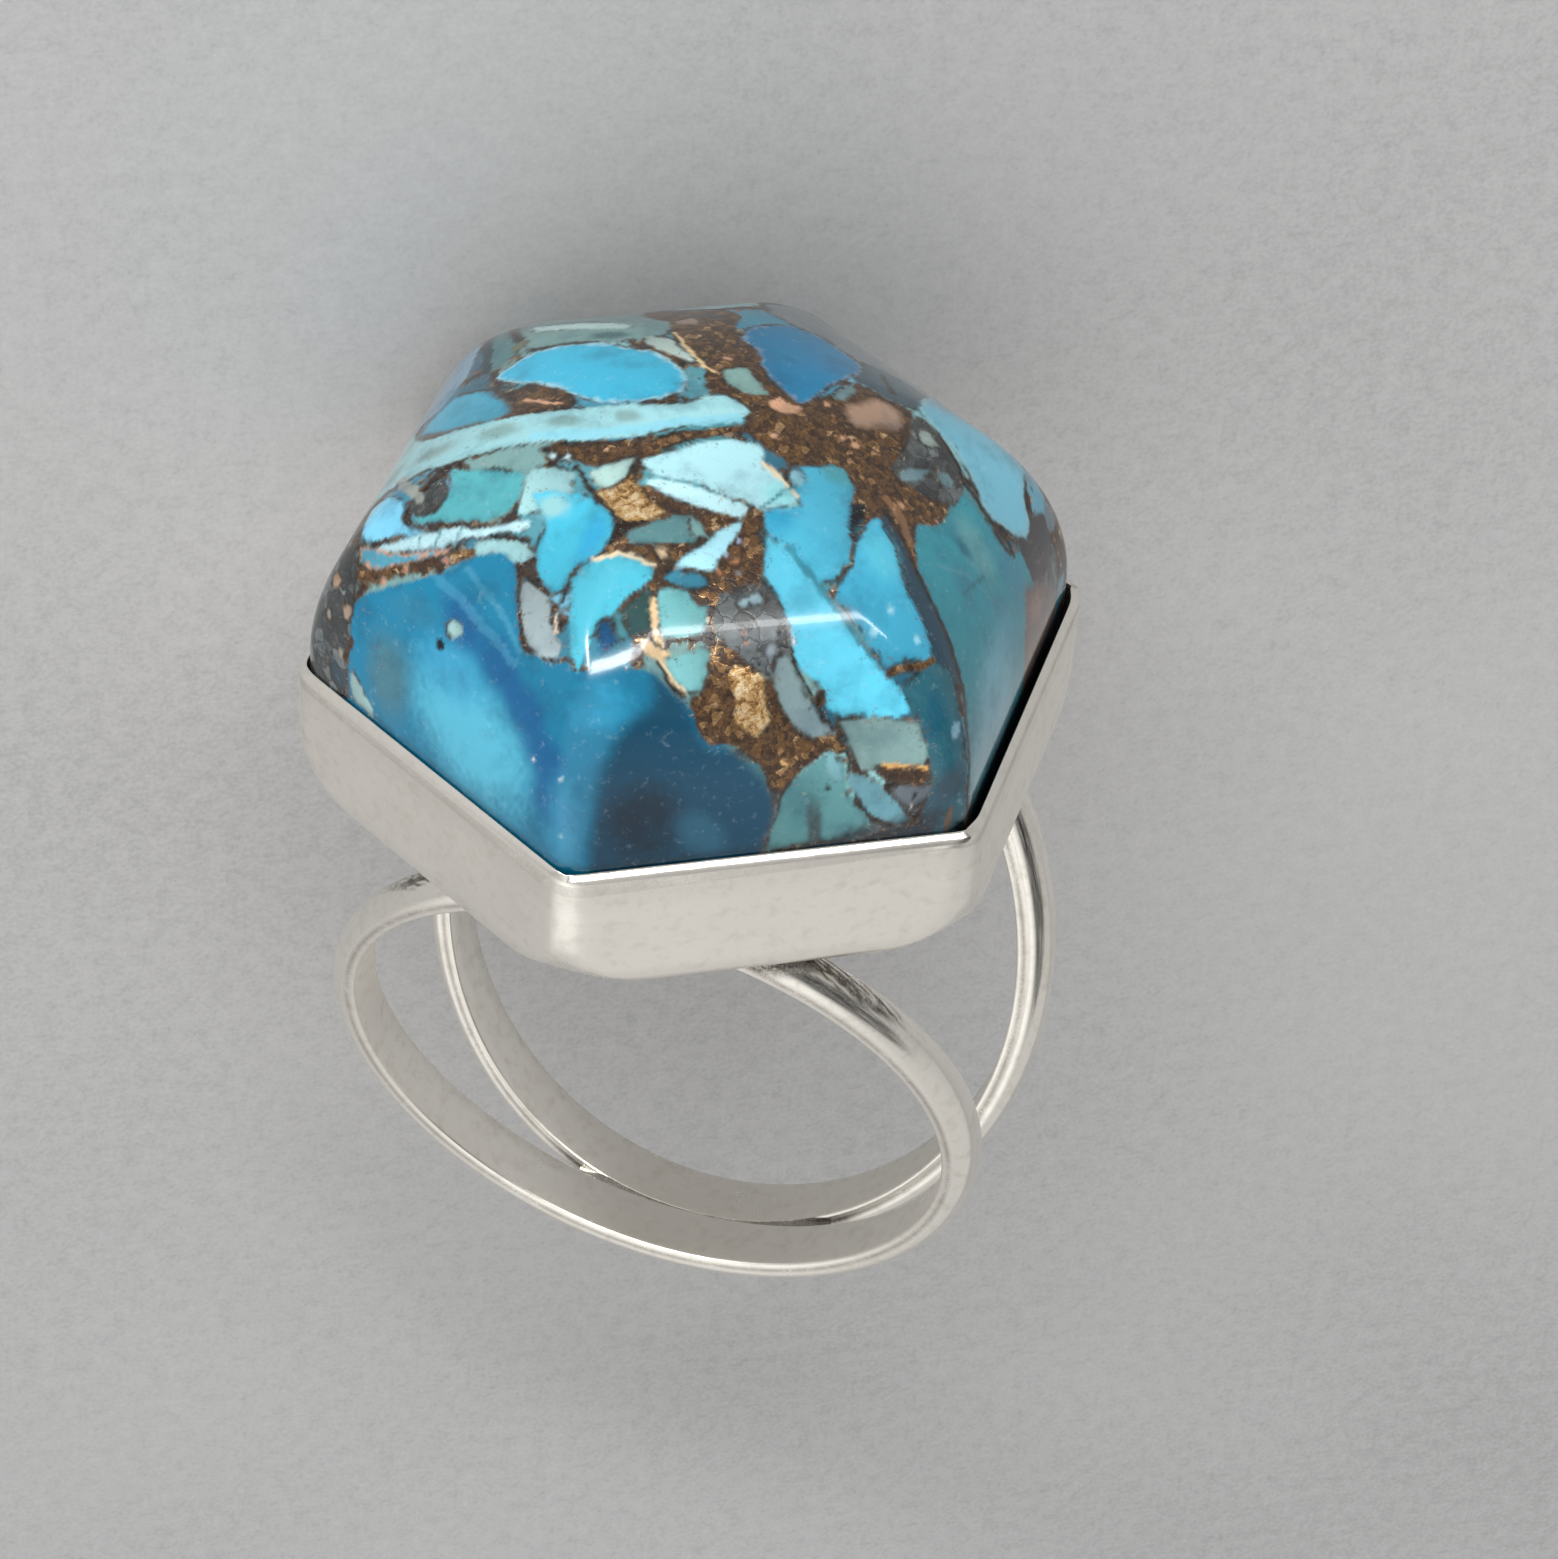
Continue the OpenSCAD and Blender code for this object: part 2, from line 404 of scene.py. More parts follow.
# The cup: a flat back, a rounded lower edge, six upright flats and a lip burnished over the stone
cup = {
    "steps": 264,         # points round the cup, closer together at its six corners
    "cornerPull": 0.14,   # how strongly they gather there
    "flat": 10.22,        # reach of the flats from the axis
    "depth": 4.1,         # from the rim line down to the back
    "wall": 0.25,
    "plate": 0.8,
    "under": 0.9,         # radius of the lower edge
    "turnedAt": 9.602,    # the back is turned away outside this radius
    "turned": 2.0,        # and over this one
    "soft": 0.055,        # softness of the upright corners
    "lipTop": 0.445,      # height of the lip
    "crest": 0.10,        # thickness of the lip at its crest
    "filedTall": 0.14,    # the filed bevel under the lip, below the rim line at the front corner
    "filedShort": -0.16,  # and at the right one
    "filedElse": -0.05,   # and on the other flats
    "filedIn": 0.07,      # how far it leans in
    "openFlat": 0,        # the flat where the lip stands off the stone
    "bite": 0.02,         # room between lip and stone elsewhere
    "worn": 0.35,         # extra polish on the upright corners
    "crevice": 0.75,      # darkening of the back beside the bands: tarnish and painted crevice shade
}
stoneFit = {"side": 9.85, "shift": 0.08}


def cupOutline(theta):
    # the section across the flats at each angle: reach, height, polish and painted shade, from the
    # underside's middle over the lip and back to the middle of the cup's floor
    degrees = np.degrees(theta)
    out = cup["flat"]
    low = -cup["depth"]
    under = cup["under"]
    wallIn = out - cup["wall"]
    # the lip stands off the stone along the open flat
    away = np.abs((degrees - cup["openFlat"] + 180) % 360 - 180)
    grip = stoneFit["side"] - stoneFit["shift"] * np.cos(facingOf(theta)) + cup["bite"]
    inner = blend(grip, wallIn, 1 - smoothStep(26, 31, away))
    crestOut = inner + cup["crest"]
    # the filed bevel runs along the front right flat, tall at the front corner
    along = np.clip((degrees + 90) / 60, 0, 1)
    onFront = smoothStep(-118, -91, degrees) * (1 - smoothStep(-34, -28, degrees))
    filed = blend(cup["filedElse"], -blend(cup["filedTall"], cup["filedShort"], along), onFront)
    lean = cup["filedIn"] * (0.35 + 0.65 * onFront)
    shoulder = out - lean
    rings = []

    def ring(reach, z, polish=0.0, tarnish=0.0):
        rings.append([value + 0 * theta for value in (reach, z, polish, tarnish)])

    for reach in (0, 2, 3, 4, *np.arange(4.5, 9.1, 0.5)):
        ring(reach, low)
    for t in np.radians(np.arange(0, 91, 9)):
        ring(out - under + under * math.sin(t), low + under * (1 - math.cos(t)), 0.25)
    for z in (-3.05, -2.7, -2.2, -1.7, -1.3, -1.0):
        ring(out, z)
    # painted shade along the filed bevel and the shoulder above it
    ring(out, filed - 0.04, 0, 0.1)
    ring(out, filed, 0.2, 0.3)
    ring(out - 0.12 * lean, filed + 0.035, 0.1, 0.3)
    ring(shoulder, 0.20, 0.1, 0.25)
    ring(shoulder - 0.012, 0.235, 0.5)
    ring(blend(shoulder, crestOut, 0.55), 0.34, 1)
    ring(crestOut, 0.41, 1)
    ring(crestOut - 0.035, 0.44, 1)
    ring(inner + 0.035, cup["lipTop"], 1)
    # painted shade inside the lip, down the inner wall and over the cup's floor, dark as the gap round the
    # stone
    ring(inner + 0.008, 0.42, 0.6, 0.5)
    ring(inner, 0.37, 0, 1)
    ring(blend(inner, wallIn, 0.5), 0.15, 0, 1)
    ground = low + cup["plate"]
    for z in (-0.1, -1.0, -2.1, -2.7, ground + 0.1, ground):
        ring(wallIn, z, 0, 1)
    ring(6, ground, 0, 1)
    ring(0, ground, 0, 1)
    return np.array(rings)


def bowlRadius(z, inset):
    # the round bowl that takes back the corners, and turns away the back below them
    low = np.clip(-cup["depth"] + cup["turned"] - z, 0, cup["turned"] - inset)
    return cup["turnedAt"] + np.sqrt((cup["turned"] - inset) ** 2 - low ** 2)


def buildCup():
    piece = startPiece("cup", vertices=cup["steps"], radius=1)
    # one upright step for each ring of the section, then each ring is drawn in to its place
    editPiece(piece, "EDGE")
    for _ in range(len(cupOutline(np.zeros(1))) - 1):
        bpy.ops.mesh.extrude_region_move(TRANSFORM_OT_translate={"value": (0, 0, 1)})
    leaveEdit()
    spot = places(piece)
    ring = np.rint(spot[:, 2]).astype(int)
    theta = np.arctan2(spot[:, 1], spot[:, 0])
    theta = theta - cup["cornerPull"] * np.sin(6 * (theta - hexAngle))
    theta = (theta + math.pi) % (2 * math.pi) - math.pi
    fromFlat = (theta + hexAngle) % (2 * hexAngle) - hexAngle
    section = cupOutline(theta)
    topRing = next(i for i, rows in enumerate(section) if np.all(rows[1] == cup["lipTop"]))
    reach, z, polish, tarnish = section[ring, :, np.arange(len(theta))].T
    inset = np.where(ring > topRing - 3, cup["wall"] * 0.8, 0)
    radius = softMin(reach / np.cos(fromFlat), bowlRadius(z, inset), cup["soft"])
    radius = np.where(reach < 0.01, 0, np.maximum(radius, 0))
    setPlaces(piece, np.stack([radius * np.cos(theta), radius * np.sin(theta), z], 1))
    cornerWear = cup["worn"] * (1 - smoothStep(0.5, 3.5, 30 - np.abs(np.degrees(fromFlat))))
    pointNumbers(piece, "polish", np.clip(polish + cornerWear * (ring < topRing), 0, 1))
    # the back is darkened beside the bands: partly tarnish where nothing rubs it, partly painted shade in
    # the crevice
    spot = places(piece)
    beside = np.full(len(spot), cup["flat"])
    for x, y, z in np.concatenate([bandPath(side) for side in (-1, 1)]):
        if -0.8 < z + cup["depth"] < 0.55:
            beside = np.minimum(beside, np.hypot(spot[:, 0] - x, spot[:, 1] - y))
    crevice = cup["crevice"] * (1 - smoothStep(0.75, 1.7, beside)) * (spot[:, 2] < -cup["depth"] + 0.2)
    pointNumbers(piece, "tarnish", np.maximum(tarnish, crevice))
    closeSeams(piece)
    finishPiece(piece, "silver_setting", satinSilver, 60)


# The shank: two half-round bands round the finger hole, joined at the bottom and parting on the way up
bands = {
    "hole": 9.25,         # radius of the finger hole
    "depth": 13.48,       # of its middle below the rim line
    "shift": 0.15,
    "width": 1.96,
    "taper": 0.25,        # share of the width lost at the top
    "crown": 0.95,        # thickness at the crown
    "edge": 0.35,         # and at the side edges
    "seam": 0.93,         # from the seam to a band's middle, at the bottom
    "splay": 0.248,       # sideways run for each millimetre of rise
    "flare": 0.0066,      # and for its square
    "lean": 4.6,
    "nod": 2.8,
    "turn": 1.7,
    "rounded": 0.10,      # radius of the long edges
    "crownPoints": 27,
    "steps": 300,
    "inPlate": -3.6,      # height where the bands end inside the cup's back
    "mirrored": 2.9,      # how far down the painted reflection of the cup reaches on the crowns
    "sideLine": 0.55,     # painted shade along the side edges
    "notch": 0.9,         # and down the notch between the bands
}
underCup = (turned(-bands["turn"], "Z") @ turned(-bands["nod"], "X") @ turned(-bands["lean"], "Y")
            @ Matrix.Translation((-bands["shift"], 0, -bands["depth"])))


def rise(a):
    return bands["hole"] * (1 - np.cos(a))


def sideRun(a):
    return bands["seam"] + bands["splay"] * rise(a) + bands["flare"] * rise(a) ** 2


def sideSlope(a):
    return (bands["splay"] + 2 * bands["flare"] * rise(a)) * np.sin(a)


def bandHalf(a):
    return bands["width"] / 2 * (1 - bands["taper"] * rise(a) / (2 * bands["hole"]))


def moved(points, matrix):
    turn = np.array(matrix)
    return points @ turn[:3, :3].T + turn[:3, 3]


def roundHole(a, sideways, out):
    # a place beside the finger hole: angle from the bottom, run along the finger, distance outwards
    r = bands["hole"] + out
    return np.stack([r * np.sin(a), sideways, -r * np.cos(a)], 1)


def fromHole(spot):
    return np.arctan2(spot[:, 0], -spot[:, 2]), np.hypot(spot[:, 0], spot[:, 2]) - bands["hole"]


def bandPath(side):
    # the middle of a band's outer half, in the cup's frame
    a = np.linspace(-math.pi, math.pi, 181)
    return moved(roundHole(a, side * sideRun(a), 0.6), underCup)


def bandSection():
    # [across, outwards] round the half-round section, with its long inner edges rounded
    half = bands["width"] / 2
    r = bands["rounded"]
    t = np.radians(np.linspace(4, 176, bands["crownPoints"]))
    thick = bands["edge"] + (bands["crown"] - bands["edge"]) * np.sin(t)
    crown = np.stack([half * np.cos(t), thick], 1)
    corner = np.radians(np.array([180, 210, 240, 270]))
    left = np.stack([-half + r + r * np.cos(corner), r + r * np.sin(corner)], 1)
    right = left[::-1] * (-1, 1)
    side = np.array([[-half * 0.999, bands["edge"] * 0.7]])
    return np.concatenate([crown, side, left, [[-half / 3, 0], [half / 3, 0]], right, side * (-1, 1)])


def buildBand(name, side):
    section = bandSection()
    piece = startPiece(name, vertices=len(section), radius=1)
    setPlaces(piece, roundHole(0 * section[:, 0], section[:, 0], section[:, 1]))
    editPiece(piece, "EDGE")
    bpy.ops.mesh.spin(steps=bands["steps"], angle=2 * math.pi, center=(0, 0, 0), axis=(0, 1, 0))
    leaveEdit()
    spot = places(piece)
    a, out = fromHole(spot)
    across = spot[:, 1] * bandHalf(a) / (bands["width"] / 2)
    # the section is carried along the finger hole's surface, square to the band's own run
    slope = side * sideSlope(a)
    square = np.sqrt(1 + slope ** 2)
    along = a - across * slope / square / bands["hole"]
    spot = roundHole(along, side * sideRun(a) + across / square, out)
    hump = np.clip(out / bands["crown"], 0, 1)
    # painted shade down the notch between the crowns and along the side edges
    fromSeam = np.abs(spot[:, 1])
    notch = bands["notch"] * (1 - smoothStep(0.08, 0.42, fromSeam)) * (hump > 0.15)
    # painted shade: the seam is drawn inside the hole as a dark groove line, on the right only
    groove = (fromSeam < 0.2) & (hump < 0.15) & (hump > 0.005) & (spot[:, 0] > 0)
    sideLine = bands["sideLine"] * ((out > 0.15) & (out < 0.3))
    spot = moved(spot, underCup)
    # painted reflection: the polished crown is darkened in streaks that end in a point, for the cup's dark
    # underside mirrored in it
    below = (-cup["depth"] - spot[:, 2]) / bands["mirrored"]
    streaky = smoothStep(-0.25, 0.1, waves(spot[:, 1], spot[:, 2], 11, 0.9, 3))
    underPlateReflection = smoothStep(0, 0.07, hump - 0.76 - 0.22 * below) * (below < 1) * streaky
    underPlateReflection = np.maximum(underPlateReflection, (hump > 0.3) * (1 - smoothStep(0.05, 0.22, below)))
    pointNumbers(piece, "polish", 0.2 + 0.75 * smoothStep(0.35, 0.8, hump))
    pointNumbers(piece, "tarnish", np.clip(notch + groove + sideLine + underPlateReflection, 0, 1))
    spot[:, 2] = np.minimum(spot[:, 2], bands["inPlate"])
    setPlaces(piece, spot)
    closeSeams(piece)
    finishPiece(piece, "silver_setting", satinSilver, 60)


# Solder in the notch between the bands, as far as they part
solder = {
    "angle": 26,
    "halfWidth": 0.36,
    "steps": 60,
    "low": 0.30,       # how far it stays below the crowns
    "foot": 0.02,      # and above the finger hole's surface
    "lumps": 0.10,
    "hollow": 0.35,    # how much thinner it is at its ends
    "undercut": 0.22,
    # darkening of the solder: a dark joint, and painted shade
    "dark": 0.75,
}


def buildSolder():
    half = solder["halfWidth"]
    top = bands["crown"] - solder["low"]
    rightHalf = [[half, solder["foot"]], [half, 0.3], [half, top + 0.04], [half * 0.6, top],
                 [half * 0.3, top - 0.03]]
    leftHalf = [[-across, out] for across, out in rightHalf[::-1]]
    section = np.array([*rightHalf, [0, top - 0.05], *leftHalf, [0, solder["foot"] - 0.01]])
    piece = startPiece("seamSolder", vertices=len(section), radius=1, fill_type="NGON")
    swing = math.radians(solder["angle"])
    start = roundHole(0 * section[:, 0], section[:, 0], section[:, 1])
    setPlaces(piece, moved(start, Matrix.Rotation(swing, 4, "Y")))
    editPiece(piece, "FACE")
    bpy.ops.mesh.spin(steps=solder["steps"], angle=2 * swing, center=(0, 0, 0), axis=(0, 1, 0))
    leaveEdit()
    spot = places(piece)
    a, out = fromHole(spot)
    # lumps along the seam, and a hollow end where the bands part; the solder is darkened as a dark joint
    # and as painted shade, except at the left end, left bright and polished as a painted highlight
    lump = solder["lumps"] * waves(a, spot[:, 1], 9, 2.2, 0)
    end = smoothStep(0.72, 1.0, np.abs(a) / swing)
    outer = out * (1 + lump - solder["hollow"] * end)
    out = np.where(out > 0.1, outer, out + solder["undercut"] * end ** 2)
    bright = end * (a < 0)
    pointNumbers(piece, "polish", 0.4 + 0.6 * bright)
    pointNumbers(piece, "tarnish", solder["dark"] - solder["dark"] * bright)
    setPlaces(piece, moved(roundHole(a, spot[:, 1], out), underCup))
    closeSeams(piece)
    finishPiece(piece, "silver_setting", satinSilver, 50)


buildCup()
print("cup made")
buildBand("frontBand", -1)
buildBand("backBand", 1)
buildSolder()
print("shank made")

# The stone: a block with six sides, a rounded shoulder and a flatter top
block = {
    "top": 11.086,        # radius of the top's curve, across the flats
    "height": 9.094,
    "sideHeight": 0.85,   # where the sides start to curve
    "shoulder": 7.2,
    "shoulderTurn": math.radians(47),
    "rim": -0.35,         # the dome's faces end here, inside the cup
    "waist": -2.1,
    "back": -3.24,
    "cornerTop": 3.1,
    "cornerLow": 1.0,
    "cornerBack": 5.0,
    "cuts": (11, 13),
}
topRun = block["top"] * (math.pi / 2 - block["shoulderTurn"])
shoulderRun = topRun + block["shoulder"] * block["shoulderTurn"]


def domeSection(run):
    # reach and height at a distance run down from the top, measured along the surface
    t = math.pi / 2 - run / block["top"]
    low = block["shoulderTurn"] - (run - topRun) / block["shoulder"]
    onShoulder = run < shoulderRun
    reach = np.where(onShoulder, stoneFit["side"] - block["shoulder"] * (1 - np.cos(low)), stoneFit["side"])
    z = np.where(onShoulder, block["sideHeight"] + block["shoulder"] * np.sin(low),
                 block["sideHeight"] - (run - shoulderRun))
    onTop = run < topRun
    reach = np.where(onTop, block["top"] * np.cos(t), reach)
    return reach, np.where(onTop, block["height"] - block["top"] * (1 - np.sin(t)), z)


def hexagonPoint(x, y, reach, corner):
    # a place in a flat hexagon of inner radius 1 goes to a rounded outline of the given reach
    facing = facingOf(np.arctan2(y, x))
    tangent = -x * np.sin(facing) + y * np.cos(facing)
    depth = np.maximum(x * np.cos(facing) + y * np.sin(facing), tiny)
    corner = np.minimum(corner, 0.98 * reach)
    straight = (reach - corner) * math.tan(hexAngle)
    run = np.abs(tangent / depth / math.tan(hexAngle)) * (straight + corner * hexAngle)
    turn = np.where(run > straight, (run - straight) / np.maximum(corner, tiny), 0)
    ahead = reach - corner + corner * np.cos(turn)
    aside = np.sign(tangent) * (np.minimum(run, straight) + corner * np.sin(turn))
    return (ahead * np.cos(facing) - aside * np.sin(facing),
            ahead * np.sin(facing) + aside * np.cos(facing))


def shapeStone():
    piece = startPiece("stoneBlock", vertices=6, radius=1 / math.cos(hexAngle), fill_type="TRIFAN")
    # every second spoke goes, which leaves three four-sided faces to cut up evenly
    editPiece(piece, "EDGE")
    bpy.ops.mesh.select_all(action="DESELECT")
    leaveEdit()
    for edge in piece.data.edges:
        middle = sum((piece.data.vertices[i].co for i in edge.vertices), Vector()) / 2
        heading = math.degrees(math.atan2(middle.y, middle.x))
        edge.select = middle.length < 0.8 and round(heading - 90) % 120 == 0
    bpy.ops.object.mode_set(mode="EDIT")
    bpy.ops.mesh.dissolve_edges(use_verts=False)
    for cuts in block["cuts"]:
        bpy.ops.mesh.select_all(action="SELECT")
        bpy.ops.mesh.subdivide(number_cuts=cuts)
    # the sides and the back: the boundary is drawn down twice and closed
    bpy.ops.mesh.select_all(action="SELECT")
    bpy.ops.mesh.region_to_loop()
    for _ in range(2):
        bpy.ops.mesh.extrude_region_move(TRANSFORM_OT_translate={"value": (0, 0, -1)})
    bpy.ops.mesh.edge_face_add()
    leaveEdit()
    x, y, level = places(piece).T
    facing = facingOf(np.arctan2(y, x))
    fraction = x * np.cos(facing) + y * np.sin(facing)
    run = fraction * (shoulderRun + block["sideHeight"] - block["rim"])
    reach, z = domeSection(run)
    corner = blend(block["cornerLow"], block["cornerTop"], (np.maximum(z, 0) / block["height"]) ** 2)
    z = np.where(level < -0.5, block["waist"], z)
    atBack = level < -1.5
    z = np.where(atBack, block["back"], z)
    corner = np.where(atBack, block["cornerBack"], corner)
    px, py = hexagonPoint(x, y, reach, corner)
    setPlaces(piece, np.stack([px - stoneFit["shift"], py, z], 1))
    stretch = run / np.maximum(reach, 1e-6)
    return piece, np.stack([px * stretch, py * stretch], 1)


charting = {
    "seed": 8,
    "waves": (0.9, 4.2),       # long and short waves to the millimetre in every outline
    "wander": (0.10, 0.055),   # and how far they go
    "ground": (60, 70, 72),
    "cutCorner": 0.12,         # share of a side that rounds each corner
    "litSide": 0.42,           # how much lighter a piece is towards one side
    "margin": (0.32, 0.28),    # width and depth of the shade inside its edge
    "crumbsTo": 0.5,           # how far crumbs lie from an outline
    "scatterTo": 18,           # reach of the seeded pieces
}


# The stone's face is charted from the real one: distances over the dome from its top, in millimetres
class Chart:
    def __init__(self, points):
        self.points = points
        noise.seed_set(charting["seed"])
        long, short = charting["waves"]
        rough = np.array([noise.noise_vector(Vector((long * u, long * v, 1))) for u, v in points])
        fine = np.array([noise.noise_vector(Vector((short * u, short * v, 7))) for u, v in points])
        self.uneven = points + charting["wander"][0] * rough[:, :2] + charting["wander"][1] * fine[:, :2]
        self.fray = fine[:, 2]
        self.patchy = smoothStep(-0.12, 0.35, rough[:, 2] + 0.5 * fine[:, 0])
        self.tint = np.tile(ofStone(*charting["ground"]), (len(points), 1))
        self.masks = {name: np.zeros(len(points)) for name in matrixKinds}
        self.random = np.random.default_rng(charting["seed"])

    def near(self, outline, margin=0.6):
        low, high = np.min(outline, 0) - margin, np.max(outline, 0) + margin
        return np.nonzero(np.all((self.uneven > low) & (self.uneven < high), 1))[0]

    def away(self, rows, corners, closed=True):
        # distance of each chosen point from the outline
        ends = np.roll(corners, -1, 0) if closed else corners[1:]
        starts = corners if closed else corners[:-1]
        best = np.full(len(rows), np.inf)
        inside = np.zeros(len(rows), bool)
        p = self.uneven[rows]
        for a, b in zip(starts, ends):
            line = b - a
            t = np.clip((p - a) @ line / max(line @ line, tiny), 0, 1)
            best = np.minimum(best, np.hypot(*(p - a - t[:, None] * line).T))
            if closed and a[1] != b[1]:
                crosses = (a[1] > p[:, 1]) != (b[1] > p[:, 1])
                inside ^= crosses & (p[:, 0] < a[0] + (p[:, 1] - a[1]) * line[0] / line[1])
        return np.where(inside, best, -best) if closed else best

    def cover(self, rows, share, colour, matrix=None):
        self.tint[rows] = blend(self.tint[rows], colour, share[:, None])
        for name, mask in self.masks.items():
            mask[rows] = blend(mask[rows], float(name == matrix), share)

    def add(self, name, values, rows=slice(None)):
        self.masks[name][rows] = np.maximum(self.masks[name][rows], values)

    def shard(self, outline, colour, rim=None, line=0.08, matrix=None, rimWidth=0.35, edge=0.05):
        corners = np.array(outline, float)
        following = np.roll(corners, -1, 0)
        cut = charting["cutCorner"]
        corners = np.stack([blend(corners, following, cut), blend(corners, following, 1 - cut)], 1)
        corners = corners.reshape(-1, 2)
        rows = self.near(corners)
        depth = self.away(rows, corners)
        fray, patchy = self.fray[rows], self.patchy[rows]
        # each piece is a little lighter towards one side, as a cut face is
        heading = self.random.uniform(0, 2 * math.pi)
        spread = max(np.ptp(corners, 0).max(), 0.5)
        lightWay = np.array([math.cos(heading), math.sin(heading)])
        lit = (self.uneven[rows] - corners.mean(0)) @ lightWay / spread
        colours = ofStone(*colour) * (1 + charting["litSide"] * lit[:, None])
        marginWidth, marginDark = charting["margin"]
        thin = (1 - smoothStep(0, marginWidth, depth)) * patchy
        colours = colours * (1 - marginDark * thin[:, None])
        if rim:
            atRim = 1 - smoothStep(0, rimWidth, depth + 0.12 * fray)
            colours = blend(colours, ofStone(*rim), atRim[:, None])
        self.cover(rows, smoothStep(-edge, edge, depth), colours, matrix)
        if line:
            fromLine = np.abs(depth)
            crumbled = 1 - smoothStep(0.05, charting["crumbsTo"], fromLine)
            self.add("crumbs", crumbled * (1 - 0.6 * patchy), rows)
            width = line * (0.6 + 0.6 * fray)
            drawn = 1 - smoothStep(width * 0.5, width * 0.5 + 0.07, fromLine)
            self.add("veins", drawn * (0.12 + 0.78 * patchy), rows)

    def streak(self, path, width, colour=None, matrix="veins", share=1.0):
        # a crack, a vein of metal or a coloured streak along a path
        path = np.array(path, float)
        rows = self.near(path)
        off = self.away(rows, path, closed=False) - width * 0.25 * self.fray[rows]
        drawn = share * (1 - smoothStep(width / 2 - 0.02, width / 2 + 0.06, off))
        if colour:
            self.cover(rows, drawn, ofStone(*colour))
        else:
            self.cover(rows, drawn, self.tint[rows], matrix)

    def patch(self, middle, size, heading):
        # how far each point is inside a soft-edged oval
        turn = math.radians(heading)
        x, y = (self.uneven - middle).T
        a = (x * math.cos(turn) + y * math.sin(turn)) / size[0]
        b = (y * math.cos(turn) - x * math.sin(turn)) / size[1]
        return 1 - smoothStep(0.3, 1.15, np.hypot(a, b) + 0.15 * self.fray)

    def specks(self, middle, size, share=0.8, heading=0):
        self.add("crumbs", share * self.patch(middle, size, heading))

    def glow(self, middle, size, colour, share=0.6, heading=0):
        metal = np.maximum.reduce([self.masks[name] for name in ("bronze", "rubble", "gold")])
        inside = share * self.patch(middle, size, heading) * (1 - metal)
        self.tint = blend(self.tint, ofStone(*colour), inside[:, None])

    def dot(self, middle, size, colour, matrix=None, line=0.0):
        turns = np.radians(np.arange(0, 360, 60) + self.random.uniform(0, 60))
        reach = size * self.random.uniform(0.75, 1.25, 6)
        outline = np.stack([middle[0] + reach * np.cos(turns), middle[1] + reach * np.sin(turns)], 1)
        self.shard(outline, colour, line=line, matrix=matrix)

    def scatter(self, size, colours):
        # broken pieces all over, for the sides that the chart doesn't reach
        steps = np.arange(-charting["scatterTo"], charting["scatterTo"] + 0.1, size)
        grid = np.array([(x, y) for x in steps for y in steps])
        seeds = grid + self.random.uniform(-0.5, 0.5, grid.shape) * size
        picked = self.random.integers(0, len(colours), len(seeds))
        nearest = np.full(len(self.points), np.inf)
        second = nearest.copy()
        owner = np.zeros(len(self.points), int)
        for i, seed in enumerate(seeds):
            d = np.hypot(*(self.uneven - seed).T)
            closer = d < nearest
            second = np.where(closer, nearest, np.minimum(second, d))
            owner = np.where(closer, i, owner)
            nearest = np.where(closer, d, nearest)
        tints = np.array([ofStone(*colour[:3]) for colour in colours])[picked]
        tints = tints * self.random.uniform(0.8, 1.2, (len(seeds), 1))
        self.tint = tints[owner]
        for name in ("bronze", "rubble"):
            made = np.array([name in colour for colour in colours])[picked]
            self.masks[name] = made[owner].astype(float)
        gap = (second - nearest) / 2 + 0.06 * self.fray
        self.masks["veins"] = 1 - smoothStep(0.04, 0.16, gap)
        self.add("bronze", 1 - smoothStep(0.10, 0.34, gap + 0.3 * self.fray))


stonePiece, domePoints = shapeStone()
print("stone shaped")

chart = Chart(domePoints)
shard, streak, glow, dot, specks = chart.shard, chart.streak, chart.glow, chart.dot, chart.specks
skyBlue, teal, mint = (70, 184, 220), (64, 144, 160), (170, 224, 234)
bronzeTone, rubbleTone, cream, gold = (100, 70, 45), (90, 95, 90), (200, 160, 130), (215, 175, 100)
chart.scatter(2.3, [(95, 165, 180), (70, 140, 165), (120, 160, 160), (85, 150, 160), (60, 105, 125),
                    (140, 195, 200), (*bronzeTone, "bronze"), (*rubbleTone, "rubble"), (110, 175, 200)])

# Fields towards the top of the picture, left to right
shard([(-12.5, 5.5), (-9, 5), (-8.6, 2), (-9.2, 0.8), (-10.9, 1), (-13, -1), (-14, 3)], (125, 158, 180))
glow((-9, 1.5), (1.1, 0.7), (70, 140, 170))
glow((-10.6, -0.4), (1.3, 0.8), (160, 185, 185))
shard([(-7.9, 5.4), (-6.9, 3.1), (-6.2, 2.1), (-3.6, 2), (-2, 2.6), (-2.3, 3.9), (-3.3, 4.5), (-3.8, 6),
       (-6, 7)], (115, 150, 150))
shard([(-8.7, 5.3), (-7.9, 5.2), (-7.3, 3.6), (-6.9, 3.1), (-6.6, 2.2), (-7.4, 1.5), (-8.2, 2.6)],
      (85, 125, 130))
dot((-6.8, 2.7), 0.35, (110, 120, 100))
shard([(-6.9, 4.1), (-5.8, 3.9), (-4, 3.7), (-3.2, 3.4), (-3.3, 3), (-4.5, 3), (-5.8, 3.3), (-6.6, 3.5)],
      (180, 215, 215), line=0.05)
glow((-3.8, 2.5), (0.8, 0.35), (60, 95, 100), 0.9)
streak([(-6.2, 2.05), (-4, 2.05)], 0.12)
streak([(-8.8, 5), (-8, 2.5), (-7.6, 1.8)], 0.32, (40, 60, 65))
streak([(-7.9, 5), (-7.3, 3.6), (-6.9, 3.1)], 0.3)
